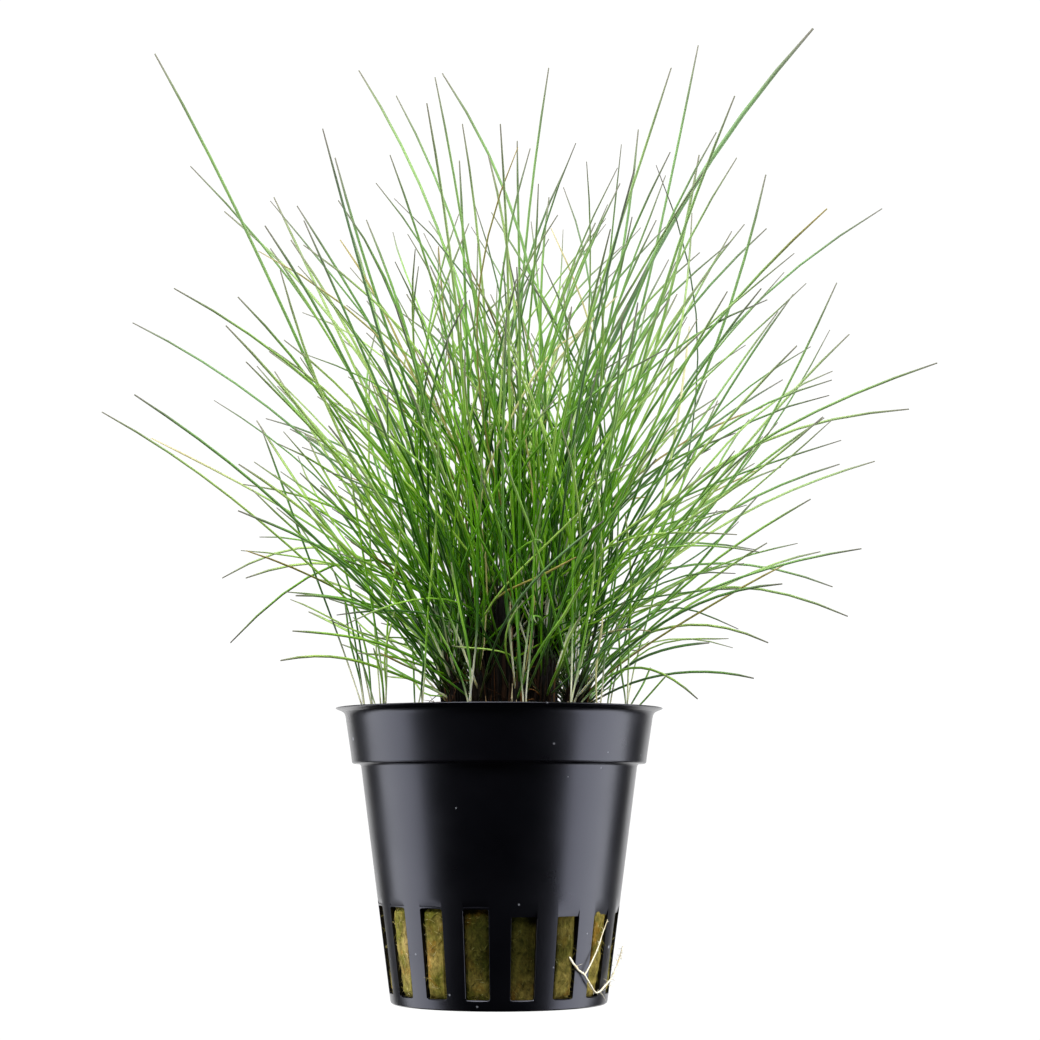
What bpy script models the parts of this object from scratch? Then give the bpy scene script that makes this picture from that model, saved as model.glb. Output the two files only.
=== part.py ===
"""Dwarf hairgrass growing in a small black net pot.

Run with: blender --background --python part.py
Units are metres and +Z is up. The pot stands on Z = 0 with its axis on Z, and its front faces -Y.
The pot, the stone wool, the loose root and each tuft of grass are separate named objects.
"""

import math
import random
from typing import NamedTuple

import bmesh
import bpy
from mathutils import Matrix, Vector

MM = 0.001

# Net pot: radii and heights of the outside
RIM_RADIUS = 27.5 * MM
POT_HEIGHT = 49.0 * MM
LIP_THICKNESS = 1.0 * MM
COLLAR_TOP_RADIUS = 25.9 * MM
COLLAR_FOOT_RADIUS = 24.65 * MM
COLLAR_FOOT_HEIGHT = 39.7 * MM
BODY_TOP_RADIUS = 23.25 * MM
BASE_RADIUS = 18.0 * MM
BASE_CORNER = 0.6 * MM
WALL = 0.9 * MM
FLOOR_THICKNESS = 1.0 * MM
POT_SIDES = 40

# Net pot: the tall slots round the foot and the drain slots in the floor
SLOT_COUNT = 16
SLOT_WIDTH = 4.2 * MM
SLOT_FOOT_WIDTH = 3.9 * MM
SLOT_FOOT_HEIGHT = 1.8 * MM
SLOT_TOP_HEIGHT = 16.2 * MM
SLOT_REACH = 8.0 * MM
FIRST_SLOT_ANGLE = math.radians(12.25)
DRAIN_COUNT = 8
DRAIN_WIDTH = 2.4 * MM
DRAIN_INNER = 5.0 * MM
DRAIN_OUTER = 13.0 * MM

# Stone wool plug
GAP = 0.3 * MM
WOOL_CLEARANCE = 0.45 * MM
WOOL_TOP = 43.5 * MM
WOOL_SIDES = 20
WOOL_LUMP = 0.12 * MM
WOOL_DOME = 0.5 * MM

# Loose root on the outside of the pot: angle from the front towards +X, height, distance off the wall
ROOT_RADIUS = 0.22 * MM
ROOT_TAPER = 0.05
FORK_SHARE = 0.85
ROOT_MAIN = ((37.5, 8.6, -0.6), (41.5, 6.6, 0.3), (46.5, 5.4, 0.55), (52.0, 3.6, 0.6), (58.0, 2.5, 0.6),
             (66.0, 3.4, 0.6), (74.0, 4.6, 0.7), (83.0, 6.9, 1.0), (89.0, 9.4, 1.4))
ROOT_FORK = ((46.3, 5.35, 0.5), (50.5, 7.6, 0.6), (55.0, 10.0, 0.5), (59.0, 12.0, 0.2), (61.0, 13.2, -0.4))

# Crowns of the middle clump: one in the middle, a ring of tall ones, and a ring of low ones outside it
SEED = 11
HUB = Vector((2.5, 0.0, 50.0)) * MM
CROWN_FOOT = WOOL_TOP + WOOL_DOME + GAP
TALL_COUNT = 6
TALL_RING = 4.9 * MM
TALL_HEIGHTS = (20 * MM, 26 * MM)
TALL_RADII = (2.05 * MM, 1.25 * MM)
TALL_SPREAD = 0.35
TALL_QUOTA = 10
TALL_TURN = 15
LOW_COUNT = 12
LOW_RING = 9.6 * MM
LOW_HEIGHTS = (9 * MM, 15 * MM)
LOW_RADII = (1.85 * MM, 1.15 * MM)
LOW_SPREAD = 0.2
LOW_QUOTA = 8
RING_SLACK = 0.3 * MM
TURN_SLACK = 3.5
CROWN_SIDES = 6
HEAD_SHARE = 0.6

# Small crowns at the rim
RIM_CROWN_HEIGHT = 4.5 * MM
RIM_CROWN_RADII = (0.85 * MM, 0.6 * MM)
RIM_CROWN_SPREAD = 0.02
RIM_CROWN_SIDES = 5

# Culms, and how closely they may pass each other
CULM_RADIUS = 0.25 * MM
CULM_TAPER = (1.0, 1.0, 0.92, 0.75, 0.35)
CULM_SPACING = 0.62 * MM
OWN_REACH = 8.0 * MM
SWAY = 0.035
TRIES = 60

# Viewpoint that the culm tips were measured from, and how far they may lie off the picture plane
EYE = Vector((3.5, -417.0, 33.4)) * MM
DEPTH_SHARE = 0.55
LEAST_DEPTH = 13
TALLEST = 167
TOP_DEPTH_SHARE = 0.3

# Culm tips seen in the photograph, as (sideways, height) in millimetres in the plane of the pot's axis,
# and how far each culm arches up off its chord, in percent of its length
MEASURED_CULMS = (
    (-60, 162.5, 2), (-53.5, 142.5, 9), (-47.5, 134.5, 9), (-40.5, 132, 6), (-39, 137, 0), (-35, 135.5, 5),
    (-28.5, 144, -2), (-24.5, 159.5, 9), (-18, 155, 8), (-10, 159, 11), (-6.5, 150, 10), (-19, 144.5, 7),
    (-7, 143.5, 3), (-2, 144.5, 7), (-36, 129.5, 7), (-39.5, 128, 3), (-45, 119.5, 8), (-47, 114.5, 5),
    (-56, 121, 10), (-63, 115, 7), (-62.5, 102.5, 4), (-68, 99.5, 5), (-59.5, 95, 3), (-39.5, 110, 8),
    (-38, 104, 3), (-41.5, 98, 0), (-27.5, 129.5, 6), (-23, 133, 3), (-16, 120, 8), (-12, 125, 4),
    (-25.5, 108.5, 7), (-37, 112, 10), (-44.5, 90.5, 6), (-34, 89, -1), (-30.5, 86.5, 5), (-44.5, 82.5, 7),
    (-33, 84, 2), (-47, 71, 25), (-43, 71, 22), (-45.5, 60, 38), (-34.5, 68, 12), (-35, 62, 9),
    (-37, 57, 11),
    (8.5, 160, 4), (3, 147, 6), (11.5, 142.5, 9), (24, 149, -3), (34.5, 164, -2), (37.5, 148.5, 5),
    (34.5, 144.5, -3), (54.5, 167, 6), (41, 144, 7), (46, 141, -5), (46, 131.5, 8), (40, 131, 2),
    (56.5, 135, 8), (66, 135, 11), (36, 124, 6), (50.5, 120, 3), (58, 122, -5), (60, 113, 4),
    (75, 108, 9), (70, 100, 14), (55.5, 98.5, 8), (51, 111, 5), (16.5, 132.5, 7), (8.5, 137, 3),
    (27, 133, 6), (30.5, 120, 2), (45, 121, 9), (22, 118, 5), (64, 91, 6), (58, 90.5, 9), (53, 84.5, 4),
    (48, 90, 7), (44, 85, 1), (45.5, 77, 6), (41.5, 73.5, 10), (35.5, 105, -2), (61.5, 76, 8),
    (54.5, 75.5, 9), (48, 70, 12), (56.5, 69.5, 15), (59, 64.5, 20), (45.5, 60, 24), (43, 54, 12),
    (33.5, 50.5, 30), (35.5, 60, 10),
)
# How far culms reach from the hub at each lean, in degrees from upright and millimetres
REACH = ((0, 110), (25, 112), (38, 100), (52, 84), (66, 62), (78, 50), (90, 34))
FILL_CULMS = 60
FILL_LEAN = (8, 82, 38)
FILL_TURN = 62
FILL_REACH = (0.62, 0.97)
FILL_RISE = (-0.02, 0.11)

# Sparse tufts round the rim: foot (x, y) in millimetres, then each culm's tip as (x, y, z) offsets from it
RIM_TUFTS = (
    ((-22.0, -1.5), ((-19, 3, 53), (-4, -1, 22), (-6, -4, 28))),
    ((-20.0, 7.5), ((-3, 4, 64), (-6, 1, 17))),
    ((-18.5, -8.5), ((1.5, -3, 21), (-6, -4, 43), (2.5, -2, 37), (-2, -5, 14))),
    ((-14.5, 13.0), ((-1, 3, 17), (3, 5, 26))),
    ((-12.0, -15.5), ((-1, -4, 15), (2, -8, 34))),
    ((-4.5, -19.0), ((-3, -6, 27), (2, -5, 44), (-6, -9, 18))),
    ((4.0, -19.5), ((3, -8, 36), (-1, -5, 21))),
    ((11.5, -17.0), ((4, -9, 30), (1, -5, 48), (8, -10, 17))),
    ((16.0, -10.5), ((1, -4, 19), (3.5, -5, 33))),
    ((18.5, 7.0), ((0, 4, 17), (5, 4, 29))),
    ((21.0, -3.0), ((-1.5, -2, 19), (0, -5, 37), (7, -4, 10))),
    ((21.0, 4.0), ((13, 5, 50), (5, 5, 12))),
    ((12.5, 17.0), ((5, 7, 25), (1, 6, 46), (9, 8, 14))),
    ((4.0, 20.0), ((1, 9, 34), (-3, 6, 20))),
    ((-5.5, 19.0), ((-4, 8, 41), (1, 5, 24), (-7, 9, 15))),
    ((-21.0, 2.5), ((-7, 3, 33), (-3, 2, 19))),
)

COLOURS = {
    "black_plastic": ((0.012, 0.012, 0.016, 1.0), 0.38),
    "stone_wool": ((0.16, 0.14, 0.035, 1.0), 0.95),
    "grass_green": ((0.085, 0.27, 0.028, 1.0), 0.5),
    "pale_root": ((0.78, 0.70, 0.50, 1.0), 0.6),
}


class Tuft(NamedTuple):
    """One plant: its crown, from foot to head, and how many culms may grow out of it."""

    name: str
    foot: Vector
    head: Vector
    foot_radius: float
    head_radius: float
    quota: int

    def radius(self, share):
        """Crown radius at a share of its height."""
        return self.foot_radius + (self.head_radius - self.foot_radius) * share


class Culm(NamedTuple):
    """One culm: a curve from a start inside its crown to its tip, bowed upwards by a vector."""

    start: Vector
    tip: Vector
    bow: Vector

    def point(self, share):
        """Point on the centre line at a share of the way to the tip."""
        return self.start.lerp(self.tip, share) + self.bow * (4 * share * (1 - share))


class Thicket:
    """The room that crowns and culms already take up, as cells of a fine grid."""

    def __init__(self):
        self.owners = {}

    @staticmethod
    def cell(point):
        """Grid cell that holds a point."""
        return tuple(math.floor(value / CULM_SPACING) for value in point)

    def claim(self, cell, owner):
        """Record that a tuft uses a cell."""
        self.owners.setdefault(cell, set()).add(owner)

    def claim_crown(self, tuft):
        """Claim every cell in a crown and a culm's width round it."""
        steps = math.ceil((tuft.head - tuft.foot).length / CULM_SPACING)
        for step in range(steps + 2):
            share = step / steps
            middle = tuft.foot.lerp(tuft.head, share)
            reach = tuft.radius(min(share, 1.0)) + CULM_SPACING
            span = math.ceil(reach / CULM_SPACING)
            for across in range(-span, span + 1):
                for along in range(-span, span + 1):
                    offset = Vector((across, along, 0)) * CULM_SPACING
                    if offset.length <= reach:
                        self.claim(self.cell(middle + offset), tuft.name)

    def samples(self, culm):
        """Points along a culm, half a cell apart, each with its distance from the start."""
        length = (culm.tip - culm.start).length
        count = math.ceil(2.5 * length / CULM_SPACING)
        for step in range(count + 1):
            share = step / count
            yield culm.point(share), share * length

    def is_clear(self, culm, tuft):
        """Tell whether a culm keeps clear of the wool, the rim and every crown and culm in place."""
        for point, distance in self.samples(culm):
            owners = self.owners.get(self.cell(point), set())
            if owners - {tuft.name} or (owners and distance > OWN_REACH):
                return False
            from_axis = math.hypot(point.x, point.y)
            in_wool = point.z < WOOL_TOP + WOOL_DOME
            by_rim = point.z < POT_HEIGHT + CULM_SPACING and from_axis > COLLAR_TOP_RADIUS - WALL - CULM_SPACING
            if in_wool or (by_rim and from_axis < RIM_RADIUS + CULM_SPACING):
                return False
        return True

    def claim_culm(self, culm, tuft):
        """Claim the cells that a culm passes through, and their neighbours."""
        around = (-1, 0, 1)
        for point, _ in self.samples(culm):
            i, j, k = self.cell(point)
            for di in around:
                for dj in around:
                    for dk in around:
                        self.claim((i + di, j + dj, k + dk), tuft.name)


def tuft_at(name, ring, turn, heights, radii, spread, quota, rng):
    """Set out a crown of the middle clump on a ring round the hub, leaning outwards."""
    angle = math.radians(turn + rng.uniform(-TURN_SLACK, TURN_SLACK))
    outwards = Vector((math.cos(angle), math.sin(angle), 0)) * (ring + rng.uniform(0, RING_SLACK))
    foot = Vector((HUB.x, HUB.y, CROWN_FOOT)) + outwards
    head = foot + outwards * spread + Vector((0, 0, rng.uniform(*heights)))
    return Tuft(name, foot, head, *radii, quota)


def rim_tuft(index, place, tips):
    """Set out a small crown at the rim, leaning outwards."""
    foot = Vector((place[0] * MM, place[1] * MM, CROWN_FOOT))
    head = foot + Vector((foot.x * RIM_CROWN_SPREAD, foot.y * RIM_CROWN_SPREAD, RIM_CROWN_HEIGHT))
    return Tuft(f"rim_tuft_{index + 1:02d}", foot, head, *RIM_CROWN_RADII, len(tips))


def plan_tufts(rng):
    """Set out the tall crowns, the low ones round them, and the small ones at the rim."""
    tufts = [tuft_at("centre_tuft", 0, 0, TALL_HEIGHTS, TALL_RADII, 0, TALL_QUOTA, rng)]
    for index in range(TALL_COUNT):
        name = f"tall_tuft_{index + 1:02d}"
        turn = TALL_TURN + 360 * index / TALL_COUNT
        tufts.append(tuft_at(name, TALL_RING, turn, TALL_HEIGHTS, TALL_RADII, TALL_SPREAD, TALL_QUOTA, rng))
    for index in range(LOW_COUNT):
        name = f"low_tuft_{index + 1:02d}"
        turn = 360 * index / LOW_COUNT
        tufts.append(tuft_at(name, LOW_RING, turn, LOW_HEIGHTS, LOW_RADII, LOW_SPREAD, LOW_QUOTA, rng))
    for index, (place, tips) in enumerate(RIM_TUFTS):
        tufts.append(rim_tuft(index, place, tips))
    return tufts


def reach_at(lean):
    """Longest reach from the hub of a culm that leans by an angle in degrees."""
    for (low, far), (high, near) in zip(REACH, REACH[1:]):
        if lean <= high:
            return (far + (near - far) * (lean - low) / (high - low)) * MM
    return REACH[-1][1] * MM


def sight_line(x, z, depth):
    """Carry a point of the picture plane along its line of sight to a depth behind that plane."""
    return EYE + (Vector((x, 0, z)) * MM - EYE) * (1 - depth / EYE.y)


def bow_of(start, tip, rise, sway):
    """Vector that lifts the middle of a culm off its chord, at right angles to it, with a little sideways sway."""
    chord = tip - start
    upwards = (Vector((0, 0, 1)) - chord * (chord.z / chord.length_squared)).normalized()
    sideways = upwards.cross(chord.normalized())
    return (upwards * rise + sideways * sway) * chord.length


def start_in(tuft, tip, rng):
    """Pick a start inside a crown: high for an upright culm, low and to the side for a leaning one."""
    heading = tip - tuft.foot
    lean = math.hypot(heading.x, heading.y) / heading.length
    share = 0.86 - 0.42 * lean + rng.uniform(-0.1, 0.08)
    side = Vector((heading.x, heading.y, 0)).normalized()
    across = Vector((-side.y, side.x, 0))
    offset = side * rng.uniform(0.0, 0.4) + across * rng.uniform(-0.55, 0.55)
    return tuft.foot.lerp(tuft.head, share) + offset * tuft.radius(share)


def best_tufts(tufts, grown, tip):
    """Four tufts of the clump with room for a culm to a tip, the best placed first."""
    heading = tip - HUB
    lean = math.atan2(math.hypot(heading.x, heading.y), heading.z)
    side = Vector((heading.x, heading.y, 0)).normalized()
    wanted = HUB + side * LOW_RING * min(1.0, lean / math.radians(45))
    free = [tuft for tuft in tufts if len(grown[tuft.name]) < tuft.quota]
    return sorted(free, key=lambda tuft: math.hypot(tuft.foot.x - wanted.x, tuft.foot.y - wanted.y))[:4]


def grow(tufts, grown, thicket, make_tip, rise, rng):
    """Try tips and starts until a culm fits, then add it to the tuft that it grows from."""
    for _ in range(TRIES):
        tip = make_tip()
        for tuft in best_tufts(tufts, grown, tip):
            start = start_in(tuft, tip, rng)
            culm = Culm(start, tip, bow_of(start, tip, rise, rng.uniform(-SWAY, SWAY)))
            if thicket.is_clear(culm, tuft):
                thicket.claim_culm(culm, tuft)
                grown[tuft.name].append(culm)
                return


def grow_measured(clump, grown, thicket, measured, rng):
    """Grow a culm whose tip lies on the line of sight that the photograph gives."""
    x, z, rise = measured
    upper = max(0.0, (z - HUB.z / MM) / (TALLEST - HUB.z / MM))
    deepest = (DEPTH_SHARE * abs(x - HUB.x / MM) + LEAST_DEPTH) * (1 - (1 - TOP_DEPTH_SHARE) * upper ** 2)
    grow(clump, grown, thicket, lambda: sight_line(x, z, rng.uniform(-deepest, deepest) * MM), rise / 100, rng)


def fill_tip(side, rng):
    """Tip of a culm that helps to fill one side of the clump, given by its direction in degrees."""
    lean = rng.triangular(*FILL_LEAN)
    turn = math.radians(side + rng.uniform(-FILL_TURN, FILL_TURN))
    reach = reach_at(lean) * rng.uniform(*FILL_REACH)
    flat = math.sin(math.radians(lean)) * reach
    return HUB + Vector((math.cos(turn) * flat, math.sin(turn) * flat, math.cos(math.radians(lean)) * reach))


def plan_culms(tufts, rng):
    """Grow the rim tufts, then the measured culms, then fill the front and back of the clump to match."""
    thicket = Thicket()
    grown = {tuft.name: [] for tuft in tufts}
    for tuft in tufts:
        thicket.claim_crown(tuft)
    clump = tufts[:-len(RIM_TUFTS)]
    for tuft, (_, tips) in zip(tufts[len(clump):], RIM_TUFTS):
        for offset in tips:
            tip = tuft.foot + Vector(offset) * MM
            for _ in range(TRIES):
                start = start_in(tuft, tip, rng)
                culm = Culm(start, tip, bow_of(start, tip, rng.uniform(0, SWAY), rng.uniform(-SWAY, SWAY)))
                if thicket.is_clear(culm, tuft):
                    thicket.claim_culm(culm, tuft)
                    grown[tuft.name].append(culm)
                    break
    for measured in rng.sample(MEASURED_CULMS, len(MEASURED_CULMS)):
        grow_measured(clump, grown, thicket, measured, rng)
    for index in range(FILL_CULMS):
        side = 90 if index % 2 else -90
        grow(clump, grown, thicket, lambda: fill_tip(side, rng), rng.uniform(*FILL_RISE), rng)
    return grown


def collection(name):
    """Make a collection in the scene."""
    made = bpy.data.collections.new(name)
    bpy.context.scene.collection.children.link(made)
    return made


def material(slot):
    """Principled material of a slot, made once."""
    if slot in bpy.data.materials:
        return bpy.data.materials[slot]
    colour, roughness = COLOURS[slot]
    made = bpy.data.materials.new(slot)
    made.use_nodes = True
    shader = made.node_tree.nodes["Principled BSDF"]
    shader.inputs["Base Color"].default_value = colour
    shader.inputs["Roughness"].default_value = roughness
    made.diffuse_color = colour
    return made


def mesh_object(name, bm, home, slot=None):
    """Turn a bmesh into an object in a collection."""
    mesh = bpy.data.meshes.new(name)
    bmesh.ops.recalc_face_normals(bm, faces=bm.faces)
    bm.to_mesh(mesh)
    bm.free()
    made = bpy.data.objects.new(name, mesh)
    home.objects.link(made)
    if slot:
        mesh.materials.append(material(slot))
        mesh.shade_smooth()
        mesh.set_sharp_from_angle(angle=math.radians(35))
    return made


def hide_tool(tool):
    """Mark an object as a cutter or guide."""
    tool.hide_render = True
    tool.display_type = "WIRE"


def tube(name, points, radii, home, section=None):
    """Curve that makes a closed tube along points, with a square section or that of a guide curve."""
    data = bpy.data.curves.new(name, "CURVE")
    data.dimensions = "3D"
    data.use_fill_caps = True
    if section:
        data.bevel_mode = "OBJECT"
        data.bevel_object = section
    else:
        data.bevel_depth = 1.0
        data.bevel_resolution = 0
    spline = data.splines.new("POLY")
    spline.points.add(len(points) - 1)
    for slot, point, radius in zip(spline.points, points, radii):
        slot.co = (*point, 1)
        slot.radius = radius
    curve = bpy.data.objects.new(f"{name} curve", data)
    curve["solid_name"] = name
    home.objects.link(curve)
    return curve


def make_meshes(curves):
    """Replace tube curves by their meshes, with the caps welded on, and return the new objects by name."""
    bpy.context.view_layer.update()
    graph = bpy.context.evaluated_depsgraph_get()
    meshes = [bpy.data.meshes.new_from_object(curve.evaluated_get(graph)) for curve in curves]
    solids = {}
    for curve, mesh in zip(curves, meshes):
        bm = bmesh.new()
        bm.from_mesh(mesh)
        bmesh.ops.remove_doubles(bm, verts=bm.verts, dist=0.001 * MM)
        name = curve["solid_name"]
        solids[name] = mesh_object(name, bm, curve.users_collection[0])
        solids[name].matrix_world = curve.matrix_world.copy()
        bpy.data.meshes.remove(mesh)
        bpy.data.objects.remove(curve)
    return solids


def unite(target, tools):
    """Fuse every object of a collection into a target."""
    modifier = target.modifiers.new("unite", "BOOLEAN")
    modifier.operation = "UNION"
    modifier.operand_type = "COLLECTION"
    modifier.collection = tools
    modifier.solver = "EXACT"


def child_collection(name, parent):
    """Make a collection inside another."""
    made = bpy.data.collections.new(name)
    parent.children.link(made)
    return made


def wall_radius(height):
    """Outside radius of the tapered body at a height."""
    return BASE_RADIUS + (BODY_TOP_RADIUS - BASE_RADIUS) * height / COLLAR_FOOT_HEIGHT


def pot_profile():
    """Half section of the pot: up its inside from the middle of the floor, over the lip and down its outside."""
    step = 0.3 * MM
    lip_foot = POT_HEIGHT - LIP_THICKNESS
    inside = [
        (0, FLOOR_THICKNESS),
        (wall_radius(FLOOR_THICKNESS) - WALL, FLOOR_THICKNESS),
        (BODY_TOP_RADIUS - WALL, COLLAR_FOOT_HEIGHT + WALL - step),
        (COLLAR_FOOT_RADIUS - WALL, COLLAR_FOOT_HEIGHT + WALL),
        (COLLAR_TOP_RADIUS - WALL, lip_foot),
        (COLLAR_TOP_RADIUS - WALL + step, POT_HEIGHT),
    ]
    outside = [
        (RIM_RADIUS - step, POT_HEIGHT),
        (RIM_RADIUS, POT_HEIGHT - step),
        (RIM_RADIUS - step, lip_foot),
        (COLLAR_TOP_RADIUS, lip_foot - step),
        (COLLAR_FOOT_RADIUS, COLLAR_FOOT_HEIGHT),
        (BODY_TOP_RADIUS, COLLAR_FOOT_HEIGHT - step),
        (wall_radius(BASE_CORNER), BASE_CORNER),
        (wall_radius(0) - BASE_CORNER, 0),
        (0, 0),
    ]
    return inside + outside


def turned(name, profile, sides, home, slot):
    """Turn a half section round the Z axis with a Screw modifier."""
    bm = bmesh.new()
    verts = [bm.verts.new((radius, 0, height)) for radius, height in profile]
    for first, second in zip(verts, verts[1:]):
        bm.edges.new((first, second))
    made = mesh_object(name, bm, home, slot)
    screw = made.modifiers.new("turn", "SCREW")
    screw.steps = sides
    screw.render_steps = sides
    screw.use_merge_vertices = True
    screw.merge_threshold = 0.00001
    return made


def slot_cutter(index, home):
    """Upright block that opens one tall slot, a little narrower at its foot."""
    bm = bmesh.new()
    middle = wall_radius(SLOT_TOP_HEIGHT / 2)
    height = SLOT_TOP_HEIGHT - SLOT_FOOT_HEIGHT
    size = Matrix.Diagonal((SLOT_WIDTH, SLOT_REACH, height, 1))
    bmesh.ops.create_cube(bm, size=1.0, matrix=size)
    foot = [vert for vert in bm.verts if vert.co.z < 0]
    bmesh.ops.scale(bm, vec=(SLOT_FOOT_WIDTH / SLOT_WIDTH, 1, 1), verts=foot)
    cutter = mesh_object(f"slot_cutter_{index + 1:02d}", bm, home)
    angle = FIRST_SLOT_ANGLE + index * math.tau / SLOT_COUNT
    cutter.location = (math.sin(angle) * middle, -math.cos(angle) * middle, SLOT_FOOT_HEIGHT + height / 2)
    cutter.rotation_euler.z = angle
    hide_tool(cutter)


def drain_cutter(index, home):
    """Flat block that opens one drain slot in the floor."""
    bm = bmesh.new()
    size = Matrix.Diagonal((DRAIN_WIDTH, DRAIN_OUTER - DRAIN_INNER, 3 * FLOOR_THICKNESS, 1))
    bmesh.ops.create_cube(bm, size=1.0, matrix=size)
    cutter = mesh_object(f"drain_cutter_{index + 1:02d}", bm, home)
    angle = FIRST_SLOT_ANGLE + index * math.tau / DRAIN_COUNT
    middle = (DRAIN_INNER + DRAIN_OUTER) / 2
    cutter.location = (math.sin(angle) * middle, -math.cos(angle) * middle, FLOOR_THICKNESS / 2)
    cutter.rotation_euler.z = angle
    hide_tool(cutter)


def build_pot(parts, tools):
    """Turned pot with its slots cut through the wall and the floor."""
    pot = turned("pot", pot_profile(), POT_SIDES, parts, "black_plastic")
    cutters = child_collection("pot cutters", tools)
    for index in range(SLOT_COUNT):
        slot_cutter(index, cutters)
    for index in range(DRAIN_COUNT):
        drain_cutter(index, cutters)
    modifier = pot.modifiers.new("slots", "BOOLEAN")
    modifier.operation = "DIFFERENCE"
    modifier.operand_type = "COLLECTION"
    modifier.collection = cutters
    modifier.solver = "EXACT"


def build_wool(parts, rng):
    """Plug of stone wool that fills the pot and swells into the collar, slightly lumpy."""
    profile = [
        (0, WOOL_TOP + WOOL_DOME),
        (COLLAR_FOOT_RADIUS - WALL - 4 * WOOL_CLEARANCE, WOOL_TOP + WOOL_DOME / 2),
        (COLLAR_FOOT_RADIUS - WALL - WOOL_CLEARANCE, WOOL_TOP - WOOL_CLEARANCE),
        (COLLAR_FOOT_RADIUS - WALL - 2 * WOOL_CLEARANCE, COLLAR_FOOT_HEIGHT + WALL + 2 * GAP),
        (BODY_TOP_RADIUS - WALL - WOOL_CLEARANCE, COLLAR_FOOT_HEIGHT),
        (wall_radius(SLOT_TOP_HEIGHT) - WALL - WOOL_CLEARANCE, SLOT_TOP_HEIGHT),
        (wall_radius(SLOT_TOP_HEIGHT / 2) - WALL - WOOL_CLEARANCE, SLOT_TOP_HEIGHT / 2),
        (wall_radius(FLOOR_THICKNESS) - WALL - 2 * WOOL_CLEARANCE, FLOOR_THICKNESS + 2 * GAP),
        (0, FLOOR_THICKNESS + GAP),
    ]
    bm = bmesh.new()
    verts = [bm.verts.new((radius, 0, height)) for radius, height in profile]
    edges = [bm.edges.new(pair) for pair in zip(verts, verts[1:])]
    bmesh.ops.spin(bm, geom=verts + edges, cent=(0, 0, 0), axis=(0, 0, 1), angle=math.tau, steps=WOOL_SIDES)
    bmesh.ops.remove_doubles(bm, verts=bm.verts, dist=0.01 * MM)
    for vert in bm.verts:
        radius = math.hypot(vert.co.x, vert.co.y)
        if radius > DRAIN_INNER:
            shrink = 1 - rng.uniform(0, WOOL_LUMP) / radius
            vert.co.x *= shrink
            vert.co.y *= shrink
    mesh_object("rock_wool", bm, parts, "stone_wool")


def root_point(angle, height, standoff):
    """Point beside the pot's wall, from an angle in degrees and sizes in millimetres."""
    turn = math.radians(angle)
    radius = wall_radius(height * MM) + standoff * MM
    return Vector((math.sin(turn) * radius, -math.cos(turn) * radius, height * MM))


def root_curves(parts, forks):
    """Curves of the root that leaves the wool through one slot, and of its fork that enters the next."""
    points = [root_point(*place) for place in ROOT_MAIN]
    radii = [ROOT_RADIUS * (1 - ROOT_TAPER * step) for step in range(len(points))]
    fork_points = [root_point(*place) for place in ROOT_FORK]
    fork_radii = [FORK_SHARE * radius for radius in radii[:len(fork_points)]]
    return [tube("loose_root", points, radii, parts), tube("root_fork", fork_points, fork_radii, forks)]


def build_crown(tuft, parts, rng):
    """Bundle of old sheaths: a leaning, tapered and slightly lumpy stump with a rounded head."""
    axis = tuft.head - tuft.foot
    bm = bmesh.new()
    sides = RIM_CROWN_SIDES if tuft.name.startswith("rim") else CROWN_SIDES
    bmesh.ops.create_cone(
        bm, cap_ends=True, segments=sides, radius1=tuft.foot_radius, radius2=tuft.head_radius,
        depth=axis.length, matrix=Matrix.Translation((0, 0, axis.length / 2)))
    shoulder = axis.length - tuft.head_radius
    whole = bm.verts[:] + bm.edges[:] + bm.faces[:]
    bmesh.ops.bisect_plane(bm, geom=whole, plane_co=(0, 0, shoulder), plane_no=(0, 0, 1))
    for vert in bm.verts:
        lump = 1 + rng.uniform(-0.08, 0.04)
        if vert.co.z > shoulder + GAP / 2:
            lump *= HEAD_SHARE
        vert.co.x *= lump
        vert.co.y *= lump
        share = vert.co.z / axis.length
        vert.co += tuft.foot + axis * share - Vector((0, 0, vert.co.z))
    return mesh_object(tuft.name, bm, parts, "grass_green")


def culm_curves(tuft, culms, section, bundle):
    """Curves of a tuft's culms."""
    last = len(CULM_TAPER) - 1
    curves = []
    for index, culm in enumerate(culms):
        points = [culm.point(step / last) for step in range(last + 1)]
        curves.append(tube(f"{tuft.name}_culm_{index + 1:02d}", points, CULM_TAPER, bundle, section))
    return curves


def triangle_section(home):
    """Guide curve that gives culms their three-sided section."""
    data = bpy.data.curves.new("culm_section", "CURVE")
    data.dimensions = "2D"
    spline = data.splines.new("POLY")
    spline.points.add(2)
    for index, point in enumerate(spline.points):
        turn = index * math.tau / 3
        point.co = (math.cos(turn) * CULM_RADIUS, math.sin(turn) * CULM_RADIUS, 0, 1)
    spline.use_cyclic_u = True
    section = bpy.data.objects.new("culm_section", data)
    home.objects.link(section)
    hide_tool(section)
    return section


def clear_scene():
    """Remove the objects of the scene that the script starts in."""
    for leftover in list(bpy.data.objects):
        bpy.data.objects.remove(leftover)


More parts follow.
